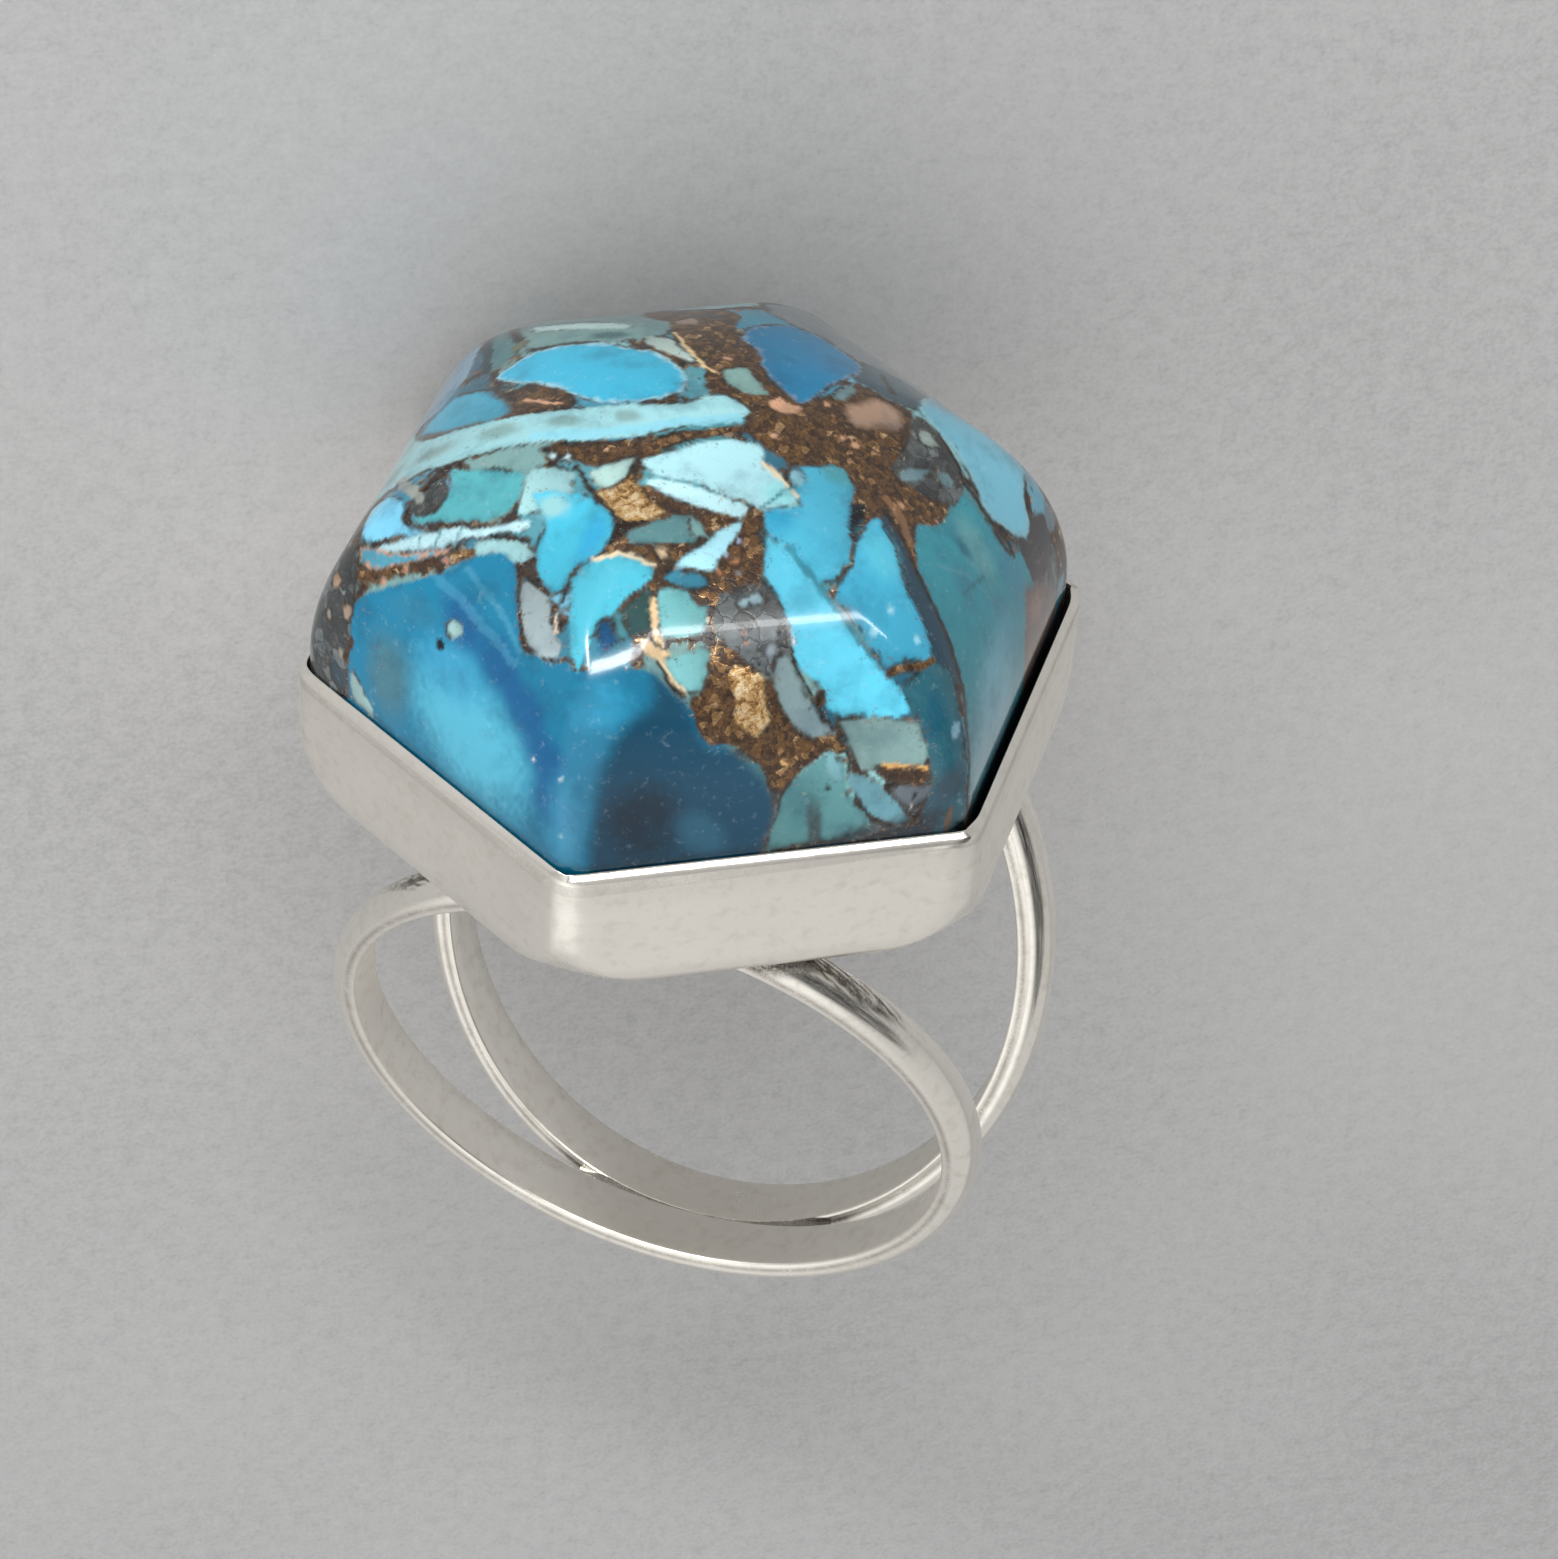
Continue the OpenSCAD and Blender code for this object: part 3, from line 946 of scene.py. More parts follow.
glow((-1.8, 5.7), (1, 0.6), (170, 175, 180), 0.8)
shard([(0, 6.2), (1, 5.6), (2, 5.9), (3, 5.3), (3.6, 4.6), (5.5, 5), (5.6, 8.5), (0, 9)], (125, 135, 140))
shard([(3.5, 4.6), (3.6, 3.2), (4.6, 3.1), (5.6, 3.3), (5.6, 5), (5, 6), (3.4, 5.4)], (75, 95, 105))
streak([(4.2, 4.9), (4.7, 3.7)], 0.2)
# the bronze that runs from the back into the middle
shard([(-3.8, 5.7), (-3.3, 4.5), (-2.3, 3.9), (-2, 3), (-1.8, 2.6), (-1.1, 1.9), (-0.4, 1.1), (0, 0.6),
       (0.2, 1), (0, 3.2), (-0.4, 3.9), (-0.4, 5), (-1, 5.6), (-2.6, 5.4)], (110, 80, 55), matrix="bronze")
dot((-1.8, 4), 0.4, (150, 130, 115), line=0.06)
streak([(-2.2, 4.8), (-1, 4.6)], 0.3, (60, 55, 55))
shard([(-0.4, 3.9), (0, 3.2), (0.6, 2.8), (1, 2), (1.5, 1.3), (2.2, 0.85), (2.6, 0.7), (2.9, 1.2),
       (3.3, 1.8), (3.7, 3), (4.6, 3.1), (5.6, 3.2), (6, 1.5), (7.8, 1), (7.7, -0.4), (7, -1), (7.3, -2.2),
       (6.6, -1.7), (6, -1.3), (5.75, -2.4), (5.7, -3.2), (5.3, -2.9), (5.1, -2), (4.8, -1.1), (4.4, -0.85),
       (3.9, -1.15), (3.2, -1.7), (2.4, -1.5), (1.5, -1.1), (1.5, -0.4), (0.6, 0), (0, 0), (-0.4, 1.1)],
      bronzeTone, matrix="bronze")
shard([(1.75, 0.35), (1.95, 0.75), (2.3, 0.6), (2.75, 0.65), (2.75, 0.3), (2.3, 0.05), (1.85, 0.05)], cream)
for spot in ((4.05, 0.2), (5.2, 0.6), (2.3, -0.95), (3.3, 1.3), (4.5, 0.2), (6.4, -0.8), (7.6, -0.3),
             (0.05, 1.8)):
    dot(spot, chart.random.uniform(0.1, 0.2), cream)
streak([(6, -1), (6.6, -1.3), (7.2, -1.9)], 0.3, (165, 125, 90), share=0.7)
shard([(5.05, -2), (5.5, -1.6), (5.75, -2.4), (5.7, -3.2), (5.35, -2.9)], (22, 22, 24))
shard([(0, 4.1), (0.5, 5), (1, 5.5), (2, 5.8), (3, 5.25), (3.5, 4.5), (3.55, 3.6), (3.3, 2.6), (3.05, 2),
       (2.9, 1.25), (2.6, 0.7), (2, 1), (1.5, 1.4), (1.2, 1.75), (1, 2.05), (0.9, 2.5), (0.6, 2.8),
       (0, 3.2)], (44, 124, 168), rim=(120, 150, 182), rimWidth=0.16, line=0.12)
shard([(5.7, 0.1), (5.8, 1.7), (5.7, 3.2), (6.5, 2.95), (7.5, 2.5), (7.9, 2), (8, 1.5), (7.9, 0.9),
       (7, 0.2)], rubbleTone, matrix="rubble")
dot((6.3, 2.4), 0.36, (150, 170, 165), line=0.06)
shard([(6.4, 1.1), (7, 1.6), (6.7, 0.7), (6.1, 0.1), (5.9, 0.3), (6.1, 0.8)], (110, 140, 150))
dot((7.3, 1.5), 0.35, (100, 130, 135), line=0.05)
shard([(4.3, 2.8), (4.7, 2.9), (5.2, 2.95), (5.5, 2.6), (5.6, 2.2), (5.4, 1.8), (5, 1.5), (4.7, 1.1),
       (4.3, 0.9), (4, 1), (3.8, 1.3), (3.7, 1.8), (4, 2.1), (4.2, 2.5)], (165, 140, 120),
      rim=(120, 98, 80))
shard([(3.3, 2), (3.6, 2.9), (3.9, 2.5), (3.7, 1.9), (3.4, 1.6)], (110, 140, 145))
shard([(0.1, 1.1), (0.4, 1.4), (0.75, 1.6), (1.1, 1.3), (1.6, 0.8), (1.65, 0.65), (1.4, 0.4), (1, 0.3),
       (0.5, 0.4), (0.3, 0.6)], (130, 170, 165))

# The teal field down the right side, with its clouds and cracks
shard([(7.9, 1), (8, 1.6), (10.3, 1.7), (10.8, 2.9), (11.9, 2.9), (12.6, 1.2), (13.2, 0.75), (15, 1.2),
       (16.5, -3), (16.5, -8), (13.3, -7.3), (12, -6.1), (10.8, -4.8), (9.5, -3.9), (8, -2.9), (7.4, -2.1),
       (7, -1), (7.7, -0.4), (7.8, 0.3)], teal)
glow((11, 1.4), (1.6, 1), (75, 132, 158))
glow((13.6, -3.4), (2.4, 3.6), (120, 170, 188), 0.85)
glow((14.6, -6.8), (1.6, 1.4), (85, 120, 130), 0.7)
glow((9.2, 0.3), (1.5, 0.9), (104, 165, 172), 0.8, -20)
glow((9.3, -1.4), (1.0, 0.6), (66, 128, 146), 0.8, -40)
glow((8.8, -0.2), (0.5, 0.3), (50, 100, 120), 0.7)
glow((11.6, -0.6), (1.3, 1.3), (84, 150, 172), 0.8)
glow((12.4, -2.6), (1.6, 2.2), (112, 176, 196), 0.85, 20)
glow((13.6, -5.6), (1.3, 1.9), (118, 172, 186), 0.8, 10)
streak([(8.2, -1.8), (9.2, -1), (10.4, -0.6), (11.4, 0.2)], 0.10, (92, 152, 166), share=0.6)
streak([(9.8, -0.3), (9.6, -1), (9.4, -1.8)], 0.07, (60, 105, 115), share=0.6)
shard([(11.9, 2.9), (12.2, 2), (12.6, 1.2), (13.2, 0.75), (14, 0.8), (15, 1.2), (16.5, 1.5), (16, 6),
       (12.4, 5.5)], (105, 98, 95), matrix="rubble")
shard([(11.6, 1.9), (12.7, 0.9), (14.2, 0.5), (16, 0.8), (16, 5), (13.6, 5.6), (11.9, 3)], (118, 106, 102),
      line=0, edge=0.25)
glow((12.6, 2.6), (1.1, 0.6), (150, 128, 116), 0.7, 70)
specks((12.8, 2.6), (1.6, 2.2), 0.7)
shard([(10.6, 2.6), (11.9, 2.8), (12.2, 5.2), (10.9, 5.3), (10.4, 4)], (75, 70, 72))
dot((11.3, 5.7), 0.5, (115, 135, 145))
shard([(5.6, 6.2), (5.6, 4.5), (5.5, 3.6), (5.9, 3.25), (6.5, 3), (7.25, 2.9), (7.8, 2.6), (8.4, 2.2),
       (8.75, 1.97), (9.25, 2), (9.75, 2.25), (10.25, 2.6), (10.55, 3), (10.75, 3.4), (10.55, 3.9),
       (10, 4.3), (9.75, 4.8), (9.4, 6.2), (7.4, 7.5)], (124, 196, 220), rim=(140, 198, 212), line=0.12)
streak([(6.5, 2.95), (7.5, 2.5), (7.9, 2), (8.6, 1.9), (9.2, 1.85), (10.2, 2.05), (10.5, 2)], 0.15)
# the long crack, and the blue fields and the long shard beside it
shard([(4.1, -0.95), (4.45, -0.85), (4.8, -1.1), (5.05, -1.4), (5.1, -2), (5.3, -2.7), (5.65, -3.3),
       (5.7, -4), (5.6, -4.6), (5.2, -4.9), (4.2, -4.5), (3.3, -4.2), (2.95, -3.6), (3, -3.3), (3.5, -2.6),
       (3.5, -2), (3.2, -1.7), (3.6, -1.4), (3.9, -1.2)], (80, 174, 204))
glow((4.4, -1.2), (0.7, 0.5), (80, 150, 160), 0.8)
glow((3.4, -3.4), (0.6, 0.9), (45, 145, 185), 0.7)
shard([(3.15, -1.85), (3.4, -1.7), (3.6, -1.8), (3.7, -2.2), (3.5, -2.4), (3.2, -2.2)], (130, 185, 200))
shard([(6, -1.5), (7.3, -2.3), (8.8, -3.4), (10.8, -4.8), (10.2, -5.2), (9.2, -5.1), (8, -4.1), (7.2, -3.1),
       (6.2, -2.3)], (55, 75, 90), line=0)
shard([(5.85, -2), (6, -1.8), (6.2, -2), (6.8, -2.5), (7.2, -3), (7.5, -3.5), (8, -3.95), (8.3, -4.1),
       (8.8, -4.5), (9.2, -4.9), (9.4, -5.1), (9.2, -5.3), (8.7, -5.6), (8.2, -6.1), (7.4, -5.8),
       (6.6, -5.4), (5.8, -5.1), (5.7, -4.8), (5.85, -4), (5.7, -3.2)], (75, 175, 210))
glow((6.5, -3.1), (0.8, 1.1), (95, 200, 225), 0.8, 40)
for spot in ((7.5, -4.6), (7.3, -5.4), (8.6, -4.9)):
    dot(spot, 0.12, (150, 215, 235))
shard([(3.2, -4.2), (3.9, -4.2), (4.5, -4.6), (5.3, -5), (6.2, -5.4), (7, -5.8), (8, -6.2), (8.9, -6.5),
       (9.5, -6.8), (9.2, -7.1), (8.7, -7.4), (8.2, -7.6), (7.4, -7.95), (6.9, -7.9), (6.6, -7.6),
       (6, -7.4), (5.5, -7.3), (5.1, -6.9), (4.8, -6.4), (4.4, -6), (3.9, -5.6), (3.6, -5.3), (3.4, -4.8)],
      (100, 205, 235))
streak([(3.9, -4.25), (5.5, -5.1), (7.5, -5.95)], 0.16, (60, 130, 150), share=0.8)
streak([(4.8, -6.5), (5.1, -6.8)], 0.12, (225, 245, 250))
streak([(3.6, -5.5), (4.6, -6.2), (5.2, -7.1), (5.8, -7.6), (6.5, -8), (7.3, -8.3), (8.2, -8.6),
        (8.7, -9.2)], 0.14)
streak([(6, -1.5), (6.6, -1.75), (7.3, -2.3), (8, -2.9), (8.8, -3.4), (9.5, -3.9), (10, -4.3), (10.8, -4.8),
        (11.3, -5.5), (12, -6.1), (12.7, -6.6), (13.3, -7.3), (14.5, -8)], 0.12)

# The mottled band, the sky lens over it and the blue to its left
shard([(-13.5, 1.5), (-10.9, 1.5), (-9, -1.2), (-6, -1.7), (-3, -1.4), (-0.5, -0.8), (0.1, -0.2), (0.6, 0),
       (1, -0.05), (1.5, -0.4), (1.35, -0.8), (0.5, -1.2), (0, -1.6), (-0.6, -1.9), (-1.5, -2.5),
       (-3, -2.7), (-4.3, -2.9), (-7, -3.4), (-9.5, -3.5), (-10.9, -3), (-14, -3)], (158, 216, 224),
      line=0.05)
for spot, size in (((-8, -2.4), (1.1, 0.5)), ((-5.6, -2.3), (0.9, 0.4)), ((-10, -2.2), (0.9, 0.7)),
                   ((-3.6, -2), (0.8, 0.3)), ((-1.8, -1.6), (0.6, 0.3)), ((-11.8, -0.6), (0.8, 0.9))):
    glow(spot, size, (130, 168, 168), 0.9)
specks((-7.4, -2.2), (3.6, 1.3), 0.75)
specks((-3.2, -1.7), (1.4, 0.5), 0.6)
streak([(-4.3, -2.6), (-3, -2.45), (-1.6, -2.2), (-0.7, -1.7), (0.2, -1.3), (1.2, -0.85)], 0.3,
       (140, 215, 235), share=0.8)
shard([(-8.5, 1), (-8, 0.9), (-7.25, 0.5), (-6.6, 0), (-6.05, -0.5), (-5.6, -1), (-5.5, -1.35), (-6, -1.7),
       (-7, -1.5), (-8, -1.25), (-8.9, -0.9), (-9.4, -0.25), (-9.5, 0.4)], (70, 165, 195), line=0,
      edge=0.22)
shard([(-5.9, 0), (-3.45, -1.1), (-3.6, -1.4), (-4.5, -1.45), (-5.2, -1.6), (-5.4, -1.2), (-5.55, -0.55)],
      (75, 50, 38), matrix="bronze", line=0.12)
streak([(-5.2, -0.8), (-4.4, -1.15), (-3.9, -1.2)], 0.12, cream)
shard([(-7, 1.25), (-6, 1.94), (-5, 2), (-4, 2), (-3, 1.8), (-2, 1.6), (-1.4, 1.2), (-0.9, 0.7),
       (-0.6, 0.2), (-0.6, -0.25), (-1, -0.75), (-1.7, -1.05), (-2.6, -1.2), (-3.4, -0.95), (-4.2, -0.5),
       (-5.1, -0.1), (-5.9, 0.2), (-6.5, 0.55), (-7, 1)], skyBlue, rim=(165, 215, 230), rimWidth=0.22,
      line=0.1)
streak([(-8.4, 1.1), (-7.25, 0.55), (-6, 0.1)], 0.08)
shard([(-2.7, 2.6), (-1.9, 2.5), (-1.2, 1.8), (-0.6, 1.2), (-1, 1.2), (-2, 1.7), (-2.5, 2)],
      (170, 195, 190))
streak([(-1.9, 2.9), (-1.2, 2), (-0.4, 1.1), (0, 0.9)], 0.1, (220, 200, 150))
# the dark vein across the middle
shard([(-4.1, -3.1), (-3, -2.85), (-2.2, -2.8), (-1, -2.45), (-0.3, -1.95), (0.3, -1.65), (1, -1.3),
       (1.6, -1.05), (1.5, -1.3), (1, -1.6), (0.3, -2), (-0.3, -2.5), (-1, -3.1), (-2.2, -3.55),
       (-3, -3.3)], (70, 45, 35), matrix="bronze", line=0.12)
for spot in ((-3.5, -3.3), (-3, -3.3)):
    dot(spot, 0.16, (185, 220, 225), line=0.08)
# the ice-blue piece and the strips beside it
shard([(-10, -3.9), (-9, -4), (-8.4, -4.4), (-8.1, -5), (-7.9, -5.5), (-7.2, -5.7), (-8, -5.75),
       (-9, -5.85), (-9.6, -5.7), (-9.9, -5.3), (-10, -4.6)], (125, 208, 242))
shard([(-6.8, -3.6), (-6, -3.8), (-5, -3.8), (-4.2, -3.9), (-4.1, -4.5), (-4.3, -5.2), (-5, -5.4),
       (-6, -5.5), (-7.2, -5.5), (-7.8, -5.3), (-6.8, -4.8), (-6.4, -4.4), (-6.6, -4)], (90, 175, 185))
shard([(-4.1, -3.8), (-3.2, -3.6), (-2.6, -3.8), (-2.5, -4.4), (-3.2, -5.1), (-4.1, -5.3)], (150, 200, 205))
shard([(-7.9, -4.8), (-7.4, -4.5), (-7.2, -4), (-6.8, -4), (-6.5, -4.6), (-6.8, -5.1), (-7.3, -5.2),
       (-7.8, -5)], (60, 75, 70), matrix="rubble")
streak([(-9, -3.2), (-8.3, -3.9), (-7.6, -4.6)], 0.35, (160, 165, 155), share=0.85)
dot((-9, -3.5), 0.2, (10, 60, 85))
shard([(-9, -6), (-8, -5.9), (-7.3, -5.75), (-6, -5.6), (-5, -5.6), (-4, -5.4), (-3.5, -5.5), (-3.7, -5.75),
       (-4.6, -5.8), (-5.6, -5.95), (-6.5, -6.2), (-7.2, -6.2), (-8.2, -6.25), (-9, -6.2)], (180, 225, 235))
for u in (-7.25, -6.6, -5.9):
    streak([(u, -5.7), (u - 0.1, -6.15)], 0.05, (90, 140, 150))
shard([(-9.8, -5.8), (-9.2, -6), (-8.2, -6.3), (-7, -6.25), (-6.1, -6.2), (-6.2, -6.4), (-7, -6.45),
       (-7.9, -6.7), (-8.7, -6.7), (-9.4, -6.6), (-9.8, -6.3)], (85, 160, 185), rim=(205, 150, 115),
      rimWidth=0.14)
shard([(-5.2, -5.95), (-3.6, -5.95), (-3, -6.4), (-3.4, -6.7), (-4.4, -6.5), (-5.3, -6.4)], (150, 200, 205))
streak([(-10.2, -6.2), (-9.6, -6.75), (-8.8, -6.85), (-8, -6.75), (-7.3, -6.7), (-6.6, -6.55), (-6.1, -6.5),
        (-5.3, -6.4)], 0.32, matrix="bronze")
for spot in ((-8.6, -6.95), (-7.7, -6.75), (-6.2, -6.55)):
    dot(spot, 0.12, (200, 130, 95))
streak([(-4.7, -5.9), (-3.4, -6)], 0.14)

# The big deep blue piece down to the front corner, and the navy one beside it
shard([(-14, -9.5), (-11, -8), (-10, -7.3), (-8, -7.1), (-6, -6.9), (-5.5, -6.5), (-4.2, -6.4),
       (-3.6, -6.7), (-3.4, -7.4), (-3.2, -8.2), (-2.7, -9.3), (-1.8, -9.7), (-1.2, -9.6), (-0.7, -10),
       (1.5, -9.2), (3.4, -10), (6.4, -11), (5, -15), (1.3, -18), (-1, -18), (-8, -14), (-14, -11)],
      (42, 122, 158), line=0)
glow((-4.7, -11.9), (4.4, 2.1), (94, 187, 215), 0.9, -38)
glow((-5.5, -9.8), (2.2, 1), (70, 160, 200), 0.7, -30)
glow((0.3, -10.8), (1.3, 0.9), (60, 160, 200), 0.6, 20)
glow((-8.8, -9.6), (1.6, 1.6), (80, 125, 140), 0.9)
for spot in ((-5.2, -8.4), (-3.6, -9.7), (-2.4, -11.1), (-1.4, -12.6), (-0.9, -14.2)):
    glow(spot, (1.5, 0.75), (22, 84, 138), 0.75, -48)
streak([(-6.6, -6.9), (-5, -8), (-3, -9.7)], 0.22, (84, 158, 190), share=0.4)
streak([(-5.4, -6.8), (-4.3, -7.7), (-2.8, -9.3)], 0.16, (90, 165, 195), share=0.4)
glow((-7.3, -7.9), (1.5, 0.6), (60, 128, 158), 0.6, -20)
specks((-9.4, -8.2), (1.2, 1.6), 0.5)
# painted glints: white specks along the front ridge
for spot in ((-0.5, -13.3), (-0.3, -15.3), (-1.8, -12.7)):
    dot(spot, 0.1, (215, 235, 240))
shard([(1.5, -9.2), (2.6, -9.5), (3.2, -10.2), (3.7, -10.5), (4.8, -10.2), (5.9, -10.5), (6.6, -10.9),
       (7, -11.4), (7.1, -12.2), (7.4, -13.6), (4, -15.8), (1, -17.5), (0.8, -14.5), (0.8, -12.5),
       (1.2, -11), (1.8, -10)], (24, 74, 99), line=0, edge=0.35)
glow((-0.4, -14.8), (0.9, 2.0), (70, 150, 185), 0.6, 8)
glow((2.5, -13.7), (1.9, 1.5), (26, 44, 56), 0.85, 50)
glow((4.6, -13.2), (1.4, 0.9), (55, 100, 125), 0.8)
shard([(-13, -5.6), (-10.2, -5.5), (-9.9, -6.4), (-10.1, -7.4), (-10.9, -8.6), (-11.8, -9.8), (-13.5, -9.6),
       (-15.5, -9), (-15.5, -6)], (70, 62, 55), matrix="rubble")
for spot, size, colour in (((-11, -6.55), 0.32, (180, 150, 120)), ((-10.5, -7.6), 0.28, (160, 145, 130)),
                           ((-11.6, -7.5), 0.22, (150, 150, 140)), ((-11.5, -8.65), 0.2, (150, 150, 140)),
                           ((-12.3, -9.1), 0.5, (60, 75, 85))):
    dot(spot, size, colour, line=0.06)
streak([(-10.6, -8.4), (-11.3, -8.8)], 0.22, matrix="bronze")
shard([(-11.3, -9.3), (-10.9, -9.2), (-10.6, -9.8), (-10.4, -10.4), (-10.6, -10.8), (-11, -10.3),
       (-11.6, -9.9)], (150, 185, 185))
shard([(-5.9, -8.4), (-5.6, -8.25), (-5.2, -8.4), (-5.15, -8.7), (-5.4, -8.85), (-5.8, -8.7)],
      (150, 190, 190))
dot((-6.1, -8.95), 0.18, (20, 25, 30))
shard([(-3.3, -7.2), (-2.9, -7.3), (-2.4, -7.6), (-2.2, -7.9), (-2.1, -8.4), (-1.7, -8.9), (-1.4, -9.2),
       (-1.5, -9.5), (-1.8, -9.6), (-2.2, -9.5), (-2.6, -9.2), (-2.9, -8.6), (-3.2, -8), (-3.35, -7.6)],
      (150, 170, 175), line=0.12)
dot((-2.05, -8.1), 0.14, bronzeTone, "bronze")
streak([(-1.95, -8.3), (-1.75, -8.75)], 0.1, (220, 200, 170))
streak([(-3.1, -7.2), (-2.4, -7.6)], 0.14)

# Small pieces between the vein and the front
shard([(-0.6, -3.9), (2.4, -4.1), (2.6, -3.5), (3.2, -6.4), (2.2, -7), (1.2, -8.9), (-0.2, -8), (-1, -6.3),
       (-1.9, -4.4)], (60, 42, 32), matrix="bronze")
shard([(-1, -3.15), (0, -2.5), (0.5, -2.1), (1.1, -1.75), (1.6, -1.5), (2.1, -1.45), (2.4, -1.6),
       (2.45, -2), (2.8, -2.2), (3.3, -2.45), (3.7, -2.75), (3.85, -2.95), (3.4, -3.2), (2.9, -3.6),
       (2.5, -3.5), (1.7, -3.55), (0.8, -3.45), (-0.3, -3.55)], mint)
glow((3.2, -2.9), (0.6, 0.5), (140, 214, 220), 0.9)
streak([(2.5, -2.05), (3.1, -2.35), (3.7, -2.7)], 0.09, (225, 210, 175))
streak([(3.5, -2.4), (2.8, -3.6)], 0.05, (70, 130, 140))
shard([(-0.6, -3.7), (0.2, -3.55), (1, -3.6), (2, -3.55), (2.6, -3.6), (2.4, -4.05), (1.8, -4.15),
       (1.2, -4.2), (0.6, -4.2), (0, -4.05), (-0.5, -3.85)], (186, 236, 246))
shard([(-2.2, -3.7), (-1.4, -3.2), (-1, -3.1), (-1.1, -3.5), (-1, -4.1), (-1.3, -4.4), (-1.9, -4.2)],
      (170, 210, 205))
shard([(-1.9, -4.4), (-1.4, -4.2), (-1, -3.6), (-0.7, -3.9), (-0.3, -4.4), (0, -4.5), (0.25, -4.65),
       (0.1, -4.9), (-0.4, -5.1), (-0.8, -5.2), (-1.3, -5)], gold, matrix="gold")
shard([(-1, -5.3), (-0.5, -5.1), (0, -5), (-0.4, -5.5), (-0.6, -5.9), (-1, -6.1)], (50, 38, 32))
shard([(-0.5, -5.6), (0.1, -5), (0.7, -4.6), (1.2, -4.5), (1.6, -4.8), (1.5, -5.3), (0.9, -5.5),
       (0.2, -5.8), (-0.3, -5.9)], (90, 135, 140))
shard([(1, -4.4), (1.4, -4.6), (1.8, -5), (1.3, -5.1)], (120, 165, 165), line=0.03)
shard([(0.3, -5.8), (0.8, -5.7), (1, -6), (0.7, -6.2)], (215, 195, 160))
shard([(2.45, -4.05), (2.55, -4.2), (2.4, -4.8), (2.3, -5.3), (2.25, -5.9), (1.2, -6.25), (1.1, -6.2),
       (1.5, -5.4), (2, -4.6)], (165, 225, 240))
shard([(1.1, -6.3), (2.2, -6.05), (2.2, -6.4), (1.8, -6.7), (1.2, -6.7), (0.9, -6.6)], (70, 140, 165))
shard([(-3.8, -4.6), (-3.2, -4.4), (-2.6, -4.5), (-2.1, -4.5), (-1.5, -4.8), (-1, -5.2), (-0.9, -5.7),
       (-1, -6.2), (-1.4, -6.6), (-1.8, -7.1), (-1.95, -7.6), (-2.3, -7.6), (-2.8, -7.2), (-3, -6.8),
       (-3.1, -6.2), (-3, -5.6), (-3.3, -5.2)], (75, 185, 215))
glow((-3, -4.9), (0.7, 0.5), (160, 210, 210), 0.8)
glow((-1.5, -5.8), (0.5, 0.9), (55, 160, 210), 0.7)
streak([(-2.6, -3.6), (-2.1, -4.2), (-1.5, -4.8), (-0.9, -5.2)], 0.12)
streak([(-0.9, -6.2), (-1.6, -6.9), (-1.85, -7.5), (-1.9, -7.9)], 0.12)
shard([(-1.3, -6.6), (-0.9, -6.3), (-0.2, -6.2), (0.2, -6.2), (0.75, -6.5), (0.6, -6.9), (0.1, -7.6),
       (-0.1, -8), (-0.3, -8.3), (-0.6, -9), (-0.7, -10), (-1.1, -9.5), (-1.4, -8.6), (-1.7, -7.6),
       (-1.8, -7.2)], (85, 190, 215))
streak([(-1.2, -6.5), (-0.5, -6.2), (0.6, -6.35)], 0.12, (225, 215, 180))
shard([(0.6, -7), (0.9, -7.2), (1, -7.6), (1.2, -8.2), (0.9, -8.4), (0.6, -8.6), (0.3, -8.3), (0, -8),
       (0.1, -7.8), (0.4, -7.4)], (60, 85, 85))
shard([(-0.5, -8.5), (-0.3, -8.2), (0, -8.5), (0.3, -8.8), (-0.1, -9.4), (-0.3, -9)], (30, 85, 130))
shard([(-0.2, -8.1), (0, -7.9), (0.5, -8.5), (0.4, -8.8), (0.1, -8.5)], (80, 140, 150))
shard([(0.9, -7), (1.2, -6.8), (1.7, -6.7), (2.1, -7), (2.4, -6.9), (2.5, -7.2), (2.6, -7.6), (2.2, -7.9),
       (1.6, -8.3), (1.4, -8.2), (1.1, -7.6)], (115, 185, 190))
shard([(2, -8.6), (2.9, -7.9), (3.05, -8.5), (3.1, -9), (2.8, -9.4), (2.4, -9.3), (2, -9), (1.8, -8.8)],
      (125, 190, 195))
streak([(0.9, -7.4), (1.3, -8.3), (1.5, -8.4)], 0.18, (230, 205, 160))
shard([(0.8, -8.5), (1.3, -8.45), (1.9, -8.6), (1.7, -8.9), (1.1, -8.9)], (230, 205, 160))
streak([(1.6, -8.85), (2.2, -9.25), (2.6, -9.4)], 0.08, (225, 205, 165))
streak([(1.6, -8.98), (2.2, -9.38), (2.6, -9.53)], 0.1)
shard([(2.6, -3.6), (2.9, -3.6), (3, -4.1), (3.3, -4.6), (3.5, -5.2), (3.6, -5.6), (3.4, -5.9), (3.2, -6.2),
       (2.8, -6.3), (2.4, -6.1), (2.3, -5.5), (2.5, -4.8), (2.6, -4.2)], (75, 58, 45), matrix="bronze")
for spot, size, colour in (((2.7, -5.3), 0.14, (175, 125, 85)), ((2.4, -5.8), 0.12, (175, 125, 85)),
                           ((2.9, -5.6), 0.14, (120, 120, 118)), ((2.55, -4.7), 0.1, (150, 165, 190)),
                           ((2.4, -5.2), 0.1, (150, 165, 190))):
    dot(spot, size, colour)
